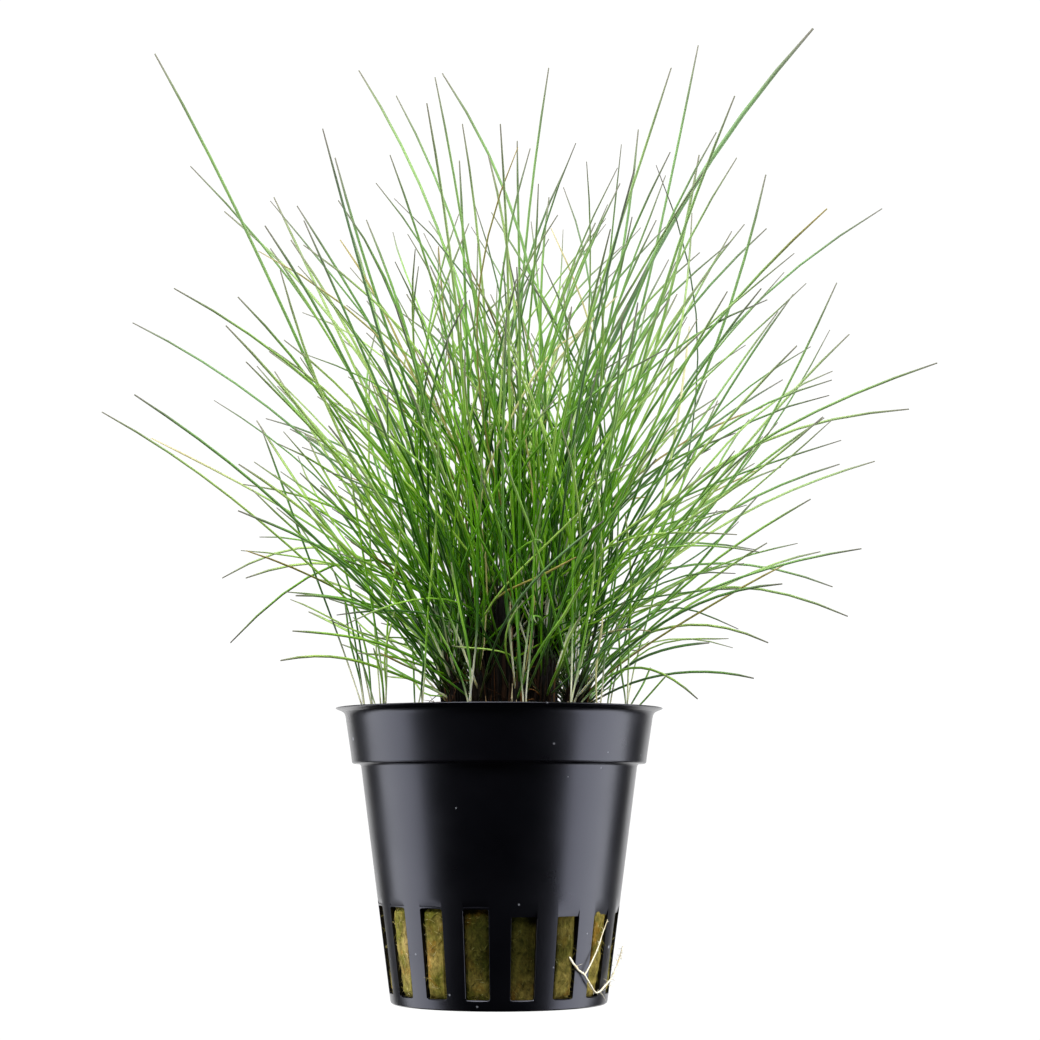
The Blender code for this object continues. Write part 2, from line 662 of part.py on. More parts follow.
def build():
    """Build the whole plant in its pot."""
    clear_scene()
    parts = collection("dwarf hairgrass")
    tools = collection("cutters and guides")
    rng = random.Random(SEED)
    section = triangle_section(tools)
    tufts = plan_tufts(rng)
    grown = plan_culms(tufts, rng)
    forks = child_collection("root fork", tools)
    curves = root_curves(parts, forks)
    bundles = {}
    for tuft in tufts:
        bundles[tuft.name] = child_collection(f"culms of {tuft.name}", tools)
        curves += culm_curves(tuft, grown[tuft.name], section, bundles[tuft.name])
    solids = make_meshes(curves)
    for name, solid in solids.items():
        if name != "loose_root":
            hide_tool(solid)
    solids["loose_root"].data.materials.append(material("pale_root"))
    unite(solids["loose_root"], forks)
    for tuft in tufts:
        unite(build_crown(tuft, parts, rng), bundles[tuft.name])
    build_wool(parts, rng)
    build_pot(parts, tools)


build()
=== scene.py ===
"""Dwarf hairgrass growing in a small black net pot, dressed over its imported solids.

The planner at the top sets out the same crowns and culms as the solids have, in the same random order, so
that every tuft here stands where its solid does. Finer culms, sheaths, fibres and root hairs are then added
to them.
Units are metres, +Z is up, and the front of the pot faces -Y.
"""

import logging
import math
import random
from dataclasses import dataclass, field
from enum import Enum
from typing import Callable, Iterable, Iterator, Sequence

import bmesh
import bpy
import numpy as np
from mathutils import Matrix, Vector, noise


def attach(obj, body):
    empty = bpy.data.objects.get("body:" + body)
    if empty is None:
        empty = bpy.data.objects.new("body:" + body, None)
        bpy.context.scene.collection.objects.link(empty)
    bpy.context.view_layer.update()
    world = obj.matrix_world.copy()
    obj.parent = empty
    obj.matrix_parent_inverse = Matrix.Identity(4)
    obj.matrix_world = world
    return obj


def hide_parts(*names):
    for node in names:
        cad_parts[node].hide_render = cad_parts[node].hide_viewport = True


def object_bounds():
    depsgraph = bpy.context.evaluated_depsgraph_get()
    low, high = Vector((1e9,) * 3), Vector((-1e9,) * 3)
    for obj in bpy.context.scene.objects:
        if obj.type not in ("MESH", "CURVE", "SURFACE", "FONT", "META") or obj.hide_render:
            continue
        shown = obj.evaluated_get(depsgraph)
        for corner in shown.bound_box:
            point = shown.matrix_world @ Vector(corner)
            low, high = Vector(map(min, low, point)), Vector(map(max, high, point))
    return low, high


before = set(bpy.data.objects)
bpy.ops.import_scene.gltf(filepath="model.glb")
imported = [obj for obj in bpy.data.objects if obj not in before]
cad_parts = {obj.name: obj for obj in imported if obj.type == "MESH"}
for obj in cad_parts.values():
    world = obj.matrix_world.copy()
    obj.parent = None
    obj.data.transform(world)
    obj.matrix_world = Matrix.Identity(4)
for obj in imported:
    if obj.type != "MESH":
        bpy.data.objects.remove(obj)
CAD_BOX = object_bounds()

LOG = logging.getLogger("dwarf_hairgrass")
MM = 0.001
ROOT_BODY = "root"
UP = Vector((0, 0, 1))
# Heights closer than this count as one
TOUCH = 1e-6
# Seed of the first plant; each next one has the next number
FIRST_SEED = 100

# Culm tips seen in the photograph, as (sideways, height) in millimetres in the plane of the pot's axis,
# and how far each culm arches up off its chord, in percent of its length
MEASURED_CULMS = (
    (-60, 162.5, 2), (-53.5, 142.5, 9), (-47.5, 134.5, 9), (-40.5, 132, 6), (-39, 137, 0), (-35, 135.5, 5),
    (-28.5, 144, -2), (-24.5, 159.5, 9), (-18, 155, 8), (-10, 159, 11), (-6.5, 150, 10), (-19, 144.5, 7),
    (-7, 143.5, 3), (-2, 144.5, 7), (-36, 129.5, 7), (-39.5, 128, 3), (-45, 119.5, 8), (-47, 114.5, 5),
    (-56, 121, 10), (-63, 115, 7), (-62.5, 102.5, 4), (-68, 99.5, 5), (-59.5, 95, 3), (-39.5, 110, 8),
    (-38, 104, 3), (-41.5, 98, 0), (-27.5, 129.5, 6), (-23, 133, 3), (-16, 120, 8), (-12, 125, 4),
    (-25.5, 108.5, 7), (-37, 112, 10), (-44.5, 90.5, 6), (-34, 89, -1), (-30.5, 86.5, 5), (-44.5, 82.5, 7),
    (-33, 84, 2), (-47, 71, 25), (-43, 71, 22), (-45.5, 60, 38), (-34.5, 68, 12), (-35, 62, 9),
    (-37, 57, 11),
    (8.5, 160, 4), (3, 147, 6), (11.5, 142.5, 9), (24, 149, -3), (34.5, 164, -2), (37.5, 148.5, 5),
    (34.5, 144.5, -3), (54.5, 167, 6), (41, 144, 7), (46, 141, -5), (46, 131.5, 8), (40, 131, 2),
    (56.5, 135, 8), (66, 135, 11), (36, 124, 6), (50.5, 120, 3), (58, 122, -5), (60, 113, 4),
    (75, 108, 9), (70, 100, 14), (55.5, 98.5, 8), (51, 111, 5), (16.5, 132.5, 7), (8.5, 137, 3),
    (27, 133, 6), (30.5, 120, 2), (45, 121, 9), (22, 118, 5), (64, 91, 6), (58, 90.5, 9), (53, 84.5, 4),
    (48, 90, 7), (44, 85, 1), (45.5, 77, 6), (41.5, 73.5, 10), (35.5, 105, -2), (61.5, 76, 8),
    (54.5, 75.5, 9), (48, 70, 12), (56.5, 69.5, 15), (59, 64.5, 20), (45.5, 60, 24), (43, 54, 12),
    (33.5, 50.5, 30), (35.5, 60, 10),
)
# Tips of the culms that are stouter than the rest, and how much stouter
STOUT_CULMS = {(54.5, 167): 1.75, (34.5, 144.5): 1.2, (-10, 159): 1.15, (-60, 162.5): 1.15}
# How far culms reach from the hub at each lean, in degrees from upright and millimetres
REACH = ((0, 110), (25, 112), (38, 100), (52, 84), (66, 62), (78, 50), (90, 34))
# Sparse tufts round the rim: foot (x, y) in millimetres, then each culm's tip as (x, y, z) offsets from it
RIM_TUFTS = (
    ((-22.0, -1.5), ((-19, 3, 53), (-4, -1, 22), (-6, -4, 28))),
    ((-20.0, 7.5), ((-3, 4, 64), (-6, 1, 17))),
    ((-18.5, -8.5), ((1.5, -3, 21), (-6, -4, 43), (2.5, -2, 37), (-2, -5, 14))),
    ((-14.5, 13.0), ((-1, 3, 17), (3, 5, 26))),
    ((-12.0, -15.5), ((-1, -4, 15), (2, -8, 34))),
    ((-4.5, -19.0), ((-3, -6, 27), (2, -5, 44), (-6, -9, 18))),
    ((4.0, -19.5), ((3, -8, 36), (-1, -5, 21))),
    ((11.5, -17.0), ((4, -9, 30), (1, -5, 48), (8, -10, 17))),
    ((16.0, -10.5), ((1, -4, 19), (3.5, -5, 33))),
    ((18.5, 7.0), ((0, 4, 17), (5, 4, 29))),
    ((21.0, -3.0), ((-1.5, -2, 19), (0, -5, 37), (7, -4, 10))),
    ((21.0, 4.0), ((13, 5, 50), (5, 5, 12))),
    ((12.5, 17.0), ((5, 7, 25), (1, 6, 46), (9, 8, 14))),
    ((4.0, 20.0), ((1, 9, 34), (-3, 6, 20))),
    ((-5.5, 19.0), ((-4, 8, 41), (1, 5, 24), (-7, 9, 15))),
    ((-21.0, 2.5), ((-7, 3, 33), (-3, 2, 19))),
)


class Slot(str, Enum):
    """Names of the material slots."""

    PLASTIC = "black_plastic"
    WOOL = "stone_wool"
    GRASS = "grass_green"
    ROOT = "pale_root"


class Part(Enum):
    """Parts of a mesh that can be selected, each as the name of its list and of its select mode."""

    POINTS = ("verts", "VERT")
    EDGES = ("edges", "EDGE")
    FACES = ("faces", "FACE")


@dataclass(frozen=True)
class PotSizes:
    """Sizes that the pot shares with the planner of the plants."""

    rim_radius: float = 27.5 * MM
    height: float = 49.0 * MM
    collar_top_radius: float = 25.9 * MM
    collar_foot_radius: float = 24.65 * MM
    collar_foot_height: float = 39.7 * MM
    body_top_radius: float = 23.25 * MM
    base_radius: float = 18.0 * MM
    wall: float = 0.9 * MM
    wool_top: float = 43.5 * MM
    wool_dome: float = 0.5 * MM
    gap: float = 0.3 * MM

    def wall_radius(self, height: float) -> float:
        """Outside radius of the tapered body at a height."""
        return self.base_radius + (self.body_top_radius - self.base_radius) * height / self.collar_foot_height


POT = PotSizes()


# Directions and curves
def heading_at(turn: float) -> Vector:
    """Level direction at an angle from +X."""
    return Vector((math.cos(turn), math.sin(turn), 0))


def scattered(rng: random.Random, spread: float) -> Vector:
    """Vector of three normal random numbers."""
    return Vector((rng.gauss(0, spread), rng.gauss(0, spread), rng.gauss(0, spread)))


def bent_line(root: Vector, heading: Vector, bend: Vector, length: float,
              shares: Iterable[float]) -> np.ndarray:
    """Points of a line that leaves its root along a heading and bends away, at shares of its length."""
    return np.array([root + (heading * share + bend * share * share) * length for share in shares])


def ripples(spot: Vector, *layers: tuple) -> float:
    """Sum of noise layers at a place, each given as its fineness and its weight."""
    return sum(noise.noise(spot * fineness) * weight for fineness, weight in layers)


# Planner
@dataclass(frozen=True)
class Tuft:
    """One plant: its crown, from foot to head, and how many culms of the solids grow out of it."""

    name: str
    foot: Vector
    head: Vector
    foot_radius: float
    head_radius: float
    quota: int

    def radius(self, share: float) -> float:
        """Crown radius at a share of its height."""
        return self.foot_radius + (self.head_radius - self.foot_radius) * share

    @property
    def is_rim(self) -> bool:
        """Tell whether this is one of the small tufts at the rim."""
        return self.name.startswith("rim")


@dataclass(frozen=True)
class Culm:
    """One culm: a curve from a start inside its crown to its tip, bowed upwards by a vector."""

    start: Vector
    tip: Vector
    bow: Vector

    def point(self, share: float) -> Vector:
        """Point on the centre line at a share of the way to the tip."""
        return self.start.lerp(self.tip, share) + self.bow * (4 * share * (1 - share))

    @property
    def length(self) -> float:
        """Length of the chord."""
        return (self.tip - self.start).length


@dataclass
class Thicket:
    """The room that crowns and culms already take up, as cells of a fine grid."""

    spacing: float = 0.62 * MM
    own_reach: float = 8.0 * MM
    owners: dict = field(default_factory=dict)

    def cell(self, point: Iterable[float]) -> tuple:
        """Grid cell that holds a point."""
        return tuple(math.floor(value / self.spacing) for value in point)

    def claim(self, cell: tuple, owner: str) -> None:
        """Record that a tuft uses a cell."""
        self.owners.setdefault(cell, set()).add(owner)

    def claim_crown(self, tuft: Tuft) -> None:
        """Claim every cell in a crown and a culm's width round it.

        Args:
            tuft: The crown's tuft.
        """
        steps = math.ceil((tuft.head - tuft.foot).length / self.spacing)
        for step in range(steps + 2):
            share = step / steps
            middle = tuft.foot.lerp(tuft.head, share)
            reach = tuft.radius(min(share, 1.0)) + self.spacing
            span = math.ceil(reach / self.spacing)
            for across in range(-span, span + 1):
                for along in range(-span, span + 1):
                    offset = Vector((across, along, 0)) * self.spacing
                    if offset.length <= reach:
                        self.claim(self.cell(middle + offset), tuft.name)

    def samples(self, culm: Culm) -> Iterator[tuple]:
        """Points along a culm, less than half a cell apart, each with its distance from the start.

        Args:
            culm: The culm.

        Returns:
            Pairs of a point and its distance.
        """
        length = culm.length
        count = math.ceil(2.5 * length / self.spacing)
        for step in range(count + 1):
            share = step / count
            yield culm.point(share), share * length

    def is_clear(self, culm: Culm, tuft: Tuft) -> bool:
        """Tell whether a culm keeps clear of the wool, the rim and every crown and culm in place.

        Args:
            culm: The culm.
            tuft: The tuft that it grows from.

        Returns:
            Whether it does.
        """
        for point, distance in self.samples(culm):
            owners = self.owners.get(self.cell(point), set())
            if owners - {tuft.name} or (owners and distance > self.own_reach):
                return False
            from_axis = math.hypot(point.x, point.y)
            in_wool = point.z < POT.wool_top + POT.wool_dome
            below_rim = point.z < POT.height + self.spacing
            rim_inside = POT.collar_top_radius - POT.wall - self.spacing
            if in_wool or (below_rim and rim_inside < from_axis < POT.rim_radius + self.spacing):
                return False
        return True

    def claim_culm(self, culm: Culm, tuft: Tuft) -> None:
        """Claim the cells that a culm passes through, and their neighbours.

        Args:
            culm: The culm.
            tuft: The tuft that it grows from.
        """
        around = (-1, 0, 1)
        for point, _ in self.samples(culm):
            i, j, k = self.cell(point)
            for di in around:
                for dj in around:
                    for dk in around:
                        self.claim((i + di, j + dj, k + dk), tuft.name)


@dataclass(frozen=True)
class CrownRing:
    """One ring of like crowns round the hub: how many, their place, size, outward lean and quota."""

    kind: str
    count: int
    first_turn: float
    radius: float
    heights: tuple
    radii: tuple
    spread: float
    quota: int


@dataclass
class Planner:
    """Sets out the crowns and grows the culms, in the same order and from the same seed as the solids."""

    seed: int = 11
    hub: Vector = field(default_factory=lambda: Vector((2.5, 0.0, 50.0)) * MM)
    crown_foot: float = POT.wool_top + POT.wool_dome + POT.gap
    rings: tuple = (
        CrownRing("centre", 1, 0, 0, (20 * MM, 26 * MM), (2.05 * MM, 1.25 * MM), 0, 10),
        CrownRing("tall", 6, 15, 4.9 * MM, (20 * MM, 26 * MM), (2.05 * MM, 1.25 * MM), 0.35, 10),
        CrownRing("low", 12, 0, 9.6 * MM, (9 * MM, 15 * MM), (1.85 * MM, 1.15 * MM), 0.2, 8),
    )
    ring_slack: float = 0.3 * MM
    turn_slack: float = 3.5
    rim_height: float = 4.5 * MM
    rim_radii: tuple = (0.85 * MM, 0.6 * MM)
    rim_spread: float = 0.02
    start_height: float = 0.86
    start_drop: float = 0.42
    start_slack: tuple = (-0.1, 0.08)
    start_out: tuple = (0.0, 0.4)
    start_across: tuple = (-0.55, 0.55)
    sway: float = 0.035
    edge_lean: float = 45
    choices: int = 4
    tries: int = 60
    eye: Vector = field(default_factory=lambda: Vector((3.5, -417.0, 33.4)) * MM)
    depth_share: float = 0.55
    least_depth: float = 13
    tallest: float = 167
    top_depth_share: float = 0.3
    fill_culms: int = 60
    fill_lean: tuple = (8, 82, 38)
    fill_turn: float = 62
    fill_reach: tuple = (0.62, 0.97)
    fill_rise: tuple = (-0.02, 0.11)

    def __post_init__(self) -> None:
        """Start the random order, the empty thicket and the list of culms by tuft."""
        self.rng = random.Random(self.seed)
        self.thicket = Thicket()
        self.tufts: list[Tuft] = []
        self.grown: dict[str, list[Culm]] = {}
        self.stoutness: dict[Vector, float] = {}

    def tuft_on(self, ring: CrownRing, index: int) -> Tuft:
        """Set out a crown of the middle clump on a ring round the hub, leaning outwards.

        Args:
            ring: The ring.
            index: Number of the crown on it.

        Returns:
            The tuft, with the name of its solid.
        """
        turn = ring.first_turn + 360 * index / ring.count
        angle = math.radians(turn + self.rng.uniform(-self.turn_slack, self.turn_slack))
        outwards = heading_at(angle) * (ring.radius + self.rng.uniform(0, self.ring_slack))
        foot = Vector((self.hub.x, self.hub.y, self.crown_foot)) + outwards
        head = foot + outwards * ring.spread + Vector((0, 0, self.rng.uniform(*ring.heights)))
        number = f"_{index + 1:02d}" if ring.count > 1 else ""
        return Tuft(f"{ring.kind}_tuft{number}", foot, head, *ring.radii, ring.quota)

    def rim_tuft(self, index: int, place: tuple, tips: tuple) -> Tuft:
        """Set out a small crown at the rim, leaning outwards.

        Args:
            index: Its number.
            place: Its foot, sideways and in depth, in millimetres.
            tips: Its culms' tips.

        Returns:
            The tuft.
        """
        foot = Vector((place[0] * MM, place[1] * MM, self.crown_foot))
        head = foot + Vector((foot.x * self.rim_spread, foot.y * self.rim_spread, self.rim_height))
        return Tuft(f"rim_tuft_{index + 1:02d}", foot, head, *self.rim_radii, len(tips))

    def plan_tufts(self) -> None:
        """Set out the middle crown, the rings round it, and the small crowns at the rim."""
        self.tufts = [self.tuft_on(ring, index) for ring in self.rings for index in range(ring.count)]
        for index, (place, tips) in enumerate(RIM_TUFTS):
            self.tufts.append(self.rim_tuft(index, place, tips))

    @staticmethod
    def reach_at(lean: float) -> float:
        """Longest reach from the hub of a culm that leans by an angle in degrees.

        Args:
            lean: The angle from upright.

        Returns:
            The reach in metres.
        """
        for (low, far), (high, near) in zip(REACH, REACH[1:]):
            if lean <= high:
                return (far + (near - far) * (lean - low) / (high - low)) * MM
        return REACH[-1][1] * MM

    def sight_line(self, x: float, z: float, depth: float) -> Vector:
        """Carry a point of the picture plane along its line of sight to a depth behind that plane."""
        return self.eye + (Vector((x, 0, z)) * MM - self.eye) * (1 - depth / self.eye.y)

    @staticmethod
    def bow_of(start: Vector, tip: Vector, rise: float, sway: float) -> Vector:
        """Vector that lifts the middle of a culm off its chord, at right angles to it, with a little sway.

        Args:
            start: The culm's start.
            tip: Its tip.
            rise: Lift as a share of the chord.
            sway: Sideways bend, likewise.

        Returns:
            The vector.
        """
        chord = tip - start
        upwards = (UP - chord * (chord.z / chord.length_squared)).normalized()
        sideways = upwards.cross(chord.normalized())
        return (upwards * rise + sideways * sway) * chord.length

    def start_in(self, tuft: Tuft, tip: Vector, rng: random.Random) -> Vector:
        """Pick a start inside a crown: high for an upright culm, low and to the side for a leaning one.

        Args:
            tuft: The tuft.
            tip: The culm's tip.
            rng: Source of its random numbers.

        Returns:
            The start.
        """
        heading = tip - tuft.foot
        lean = math.hypot(heading.x, heading.y) / heading.length
        share = self.start_height - self.start_drop * lean + rng.uniform(*self.start_slack)
        side = Vector((heading.x, heading.y, 0)).normalized()
        across = Vector((-side.y, side.x, 0))
        offset = side * rng.uniform(*self.start_out) + across * rng.uniform(*self.start_across)
        return tuft.foot.lerp(tuft.head, share) + offset * tuft.radius(share)

    @property
    def clump(self) -> list[Tuft]:
        """The tufts of the middle clump."""
        return self.tufts[:-len(RIM_TUFTS)]

    def best_tufts(self, tip: Vector) -> list[Tuft]:
        """A few tufts of the clump with room for a culm to a tip, the best placed first.

        Args:
            tip: The culm's tip.

        Returns:
            The tufts.
        """
        heading = tip - self.hub
        lean = math.atan2(math.hypot(heading.x, heading.y), heading.z)
        side = Vector((heading.x, heading.y, 0)).normalized()
        wanted = self.hub + side * self.rings[-1].radius * min(1.0, lean / math.radians(self.edge_lean))
        free = [tuft for tuft in self.clump if len(self.grown[tuft.name]) < tuft.quota]
        free.sort(key=lambda tuft: math.hypot(tuft.foot.x - wanted.x, tuft.foot.y - wanted.y))
        return free[:self.choices]

    def plant(self, tuft: Tuft, culm: Culm) -> bool:
        """Add a culm to a tuft if it keeps clear of everything in place, and tell whether it does.

        Args:
            tuft: The tuft.
            culm: The culm.

        Returns:
            Whether it was added.
        """
        if not self.thicket.is_clear(culm, tuft):
            return False
        self.thicket.claim_culm(culm, tuft)
        self.grown[tuft.name].append(culm)
        return True

    def grow(self, make_tip: Callable[[], Vector], rise: float) -> Culm | None:
        """Try tips and starts until a culm fits in one of the best placed tufts.

        Args:
            make_tip: Gives the tip of the next try.
            rise: How far the culm arches up off its chord, as a share of its length.

        Returns:
            The culm, or nothing if no try fits.
        """
        for _ in range(self.tries):
            tip = make_tip()
            for tuft in self.best_tufts(tip):
                start = self.start_in(tuft, tip, self.rng)
                sway = self.rng.uniform(-self.sway, self.sway)
                culm = Culm(start, tip, self.bow_of(start, tip, rise, sway))
                if self.plant(tuft, culm):
                    return culm
        return None

    def grow_measured(self, measured: tuple) -> None:
        """Grow a culm whose tip lies on the line of sight that the photograph gives.

        Args:
            measured: Its tip, sideways and in height, and its arch, as measured.
        """
        x, z, rise = measured
        hub = self.hub / MM
        upper = max(0.0, (z - hub.z) / (self.tallest - hub.z))
        narrowing = 1 - (1 - self.top_depth_share) * upper ** 2
        deepest = (self.depth_share * abs(x - hub.x) + self.least_depth) * narrowing
        culm = self.grow(lambda: self.sight_line(x, z, self.rng.uniform(-deepest, deepest) * MM), rise / 100)
        if culm and (x, z) in STOUT_CULMS:
            self.stoutness[culm.tip.copy().freeze()] = STOUT_CULMS[x, z]

    def spot(self, turn: float, lean: float, reach: float) -> Vector:
        """Place at a direction, a lean in degrees and a distance from the clump's hub.

        Args:
            turn: The direction in radians.
            lean: The lean from upright.
            reach: The distance.

        Returns:
            The place.
        """
        flat = math.sin(math.radians(lean)) * reach
        height = math.cos(math.radians(lean)) * reach
        return self.hub + Vector((math.cos(turn) * flat, math.sin(turn) * flat, height))

    def fill_tip(self, side: float) -> Vector:
        """Tip of a culm that helps to fill one side of the clump, given by its direction in degrees.

        Args:
            side: The direction.

        Returns:
            The tip.
        """
        lean = self.rng.triangular(*self.fill_lean)
        turn = math.radians(side + self.rng.uniform(-self.fill_turn, self.fill_turn))
        return self.spot(turn, lean, self.reach_at(lean) * self.rng.uniform(*self.fill_reach))

    def grow_at_rim(self, tuft: Tuft, tip: Vector) -> None:
        """Grow one culm of a rim tuft, as soon as a start and a bow let it pass.

        Args:
            tuft: The rim tuft.
            tip: The culm's tip.
        """
        for _ in range(self.tries):
            start = self.start_in(tuft, tip, self.rng)
            rise = self.rng.uniform(0, self.sway)
            sway = self.rng.uniform(-self.sway, self.sway)
            if self.plant(tuft, Culm(start, tip, self.bow_of(start, tip, rise, sway))):
                return

    def plan_culms(self) -> None:
        """Grow the rim tufts, then the measured culms, then fill the front and back of the clump to match."""
        self.grown = {tuft.name: [] for tuft in self.tufts}
        for tuft in self.tufts:
            self.thicket.claim_crown(tuft)
        for tuft, (_, tips) in zip(self.tufts[len(self.clump):], RIM_TUFTS):
            for offset in tips:
                self.grow_at_rim(tuft, tuft.foot + Vector(offset) * MM)
        for measured in self.rng.sample(MEASURED_CULMS, len(MEASURED_CULMS)):
            self.grow_measured(measured)
        for index in range(self.fill_culms):
            side = 90 if index % 2 else -90
            self.grow(lambda: self.fill_tip(side), self.rng.uniform(*self.fill_rise))

    def plan(self) -> None:
        """Set out every tuft and grow every culm of the solids."""
        self.plan_tufts()
        self.plan_culms()


@dataclass
class FineGrowth:
    """Further, finer culms that fill the clump between those of the solids, and cross each other."""

    planner: Planner
    count: int = 380
    seed: int = 29
    lean: tuple = (0, 82, 16)
    upright_reach: tuple = (0.44, 0.84)
    leaning_reach: tuple = (0.4, 0.9)
    rise: tuple = (-0.08, 0.22, 0.06)
    sway: float = 0.085
    margin: float = 1.0 * MM
    full_lean: float = 50
    quota: int = 40
    behind: float = -9.0 * MM
    front_quota: int = 3
    front_depth: float = 6.0 * MM
    front_share: float = 0.3
    front_lean: float = 30
    front_sine: float = -0.55
    checks: int = 12
    rim_clearance: float = 2.0 * MM
    left_count: int = 44
    left_place: float = 2.0 * MM
    left_lean: tuple = (4, 48)
    left_turn: tuple = (140, 215)
    left_reach: tuple = (0.36, 0.85)

    def tip(self, rng: random.Random) -> Vector:
        """Pick a tip anywhere round the clump, inside the reach of the outer culms.

        Args:
            rng: Source of its random numbers.

        Returns:
            The tip.
        """
        lean = rng.triangular(*self.lean)
        turn = rng.uniform(0, math.tau)
        while lean > self.front_lean and math.sin(turn) < self.front_sine and rng.random() > self.front_share:
            turn = rng.uniform(0, math.tau)
        leaning = min(1.0, lean / self.full_lean)
        spans = zip(self.upright_reach, self.leaning_reach)
        least, most = (upright + (out - upright) * leaning for upright, out in spans)
        return self.planner.spot(turn, lean, self.planner.reach_at(lean) * rng.uniform(least, most))

    def left_tip(self, rng: random.Random) -> Vector:
        """Pick a tip at the left of the clump, where the photograph shows its crowns well covered.

        Args:
            rng: Source of its random numbers.

        Returns:
            The tip.
        """
        lean = rng.uniform(*self.left_lean)
        reach = self.planner.reach_at(lean) * rng.uniform(*self.left_reach)
        return self.planner.spot(math.radians(rng.uniform(*self.left_turn)), lean, reach)

    def room(self, tuft: Tuft) -> int:
        """How many further culms a tuft may have: few at the front, so that the crowns behind show."""
        return self.front_quota if tuft.foot.y < self.planner.hub.y - self.front_depth else self.quota

    def is_inside(self, culm: Culm) -> bool:
        """Tell whether a culm stays inside the solids' box and above the wool and the rim.

        Args:
            culm: The culm.

        Returns:
            Whether it does.
        """
        low, high = CAD_BOX
        for step in range(self.checks + 1):
            point = culm.point(step / self.checks)
            for axis in range(3):
                if not low[axis] + self.margin < point[axis] < high[axis] - self.margin:
                    return False
            by_rim = math.hypot(point.x, point.y) > POT.collar_foot_radius - self.rim_clearance
            if point.z < POT.wool_top + POT.wool_dome or (by_rim and point.z < POT.height + self.margin):
                return False
        return True

    def plan(self) -> dict:
        """Grow the culms.

        Returns:
            The further culms by the name of their tuft.
        """
        rng = random.Random(self.seed)
        made: dict[str, list[Culm]] = {tuft.name: [] for tuft in self.planner.tufts}
        left = self.count
        while left:
            tip = self.tip(rng)
            heading = tip - self.planner.hub
            side = Vector((heading.x, heading.y, 0)).normalized()
            free = [tuft for tuft in self.planner.clump if len(made[tuft.name]) < self.room(tuft)
                    and (tuft.foot - self.planner.hub).dot(side) > self.behind]
            left -= self.grow(made, rng.choice(free), tip, rng)
        left = self.left_count
        edge = self.planner.hub.x - self.left_place
        at_left = [tuft for tuft in self.planner.clump if tuft.foot.x < edge]
        while left:
            left -= self.grow(made, rng.choice(at_left), self.left_tip(rng), rng)
        return made

    def grow(self, made: dict, tuft: Tuft, tip: Vector, rng: random.Random) -> bool:
        """Grow a culm from a tuft if it stays inside, and tell whether it did.

        Args:
            made: The culms so far by the name of their tuft.
            tuft: The tuft.
            tip: The culm's tip.
            rng: Source of its random numbers.

        Returns:
            Whether it was grown.
        """
        start = self.planner.start_in(tuft, tip, rng)
        rise = rng.triangular(*self.rise)
        culm = Culm(start, tip, self.planner.bow_of(start, tip, rise, rng.gauss(0, self.sway)))
        if self.is_inside(culm):
            made[tuft.name].append(culm)
            return True
        return False


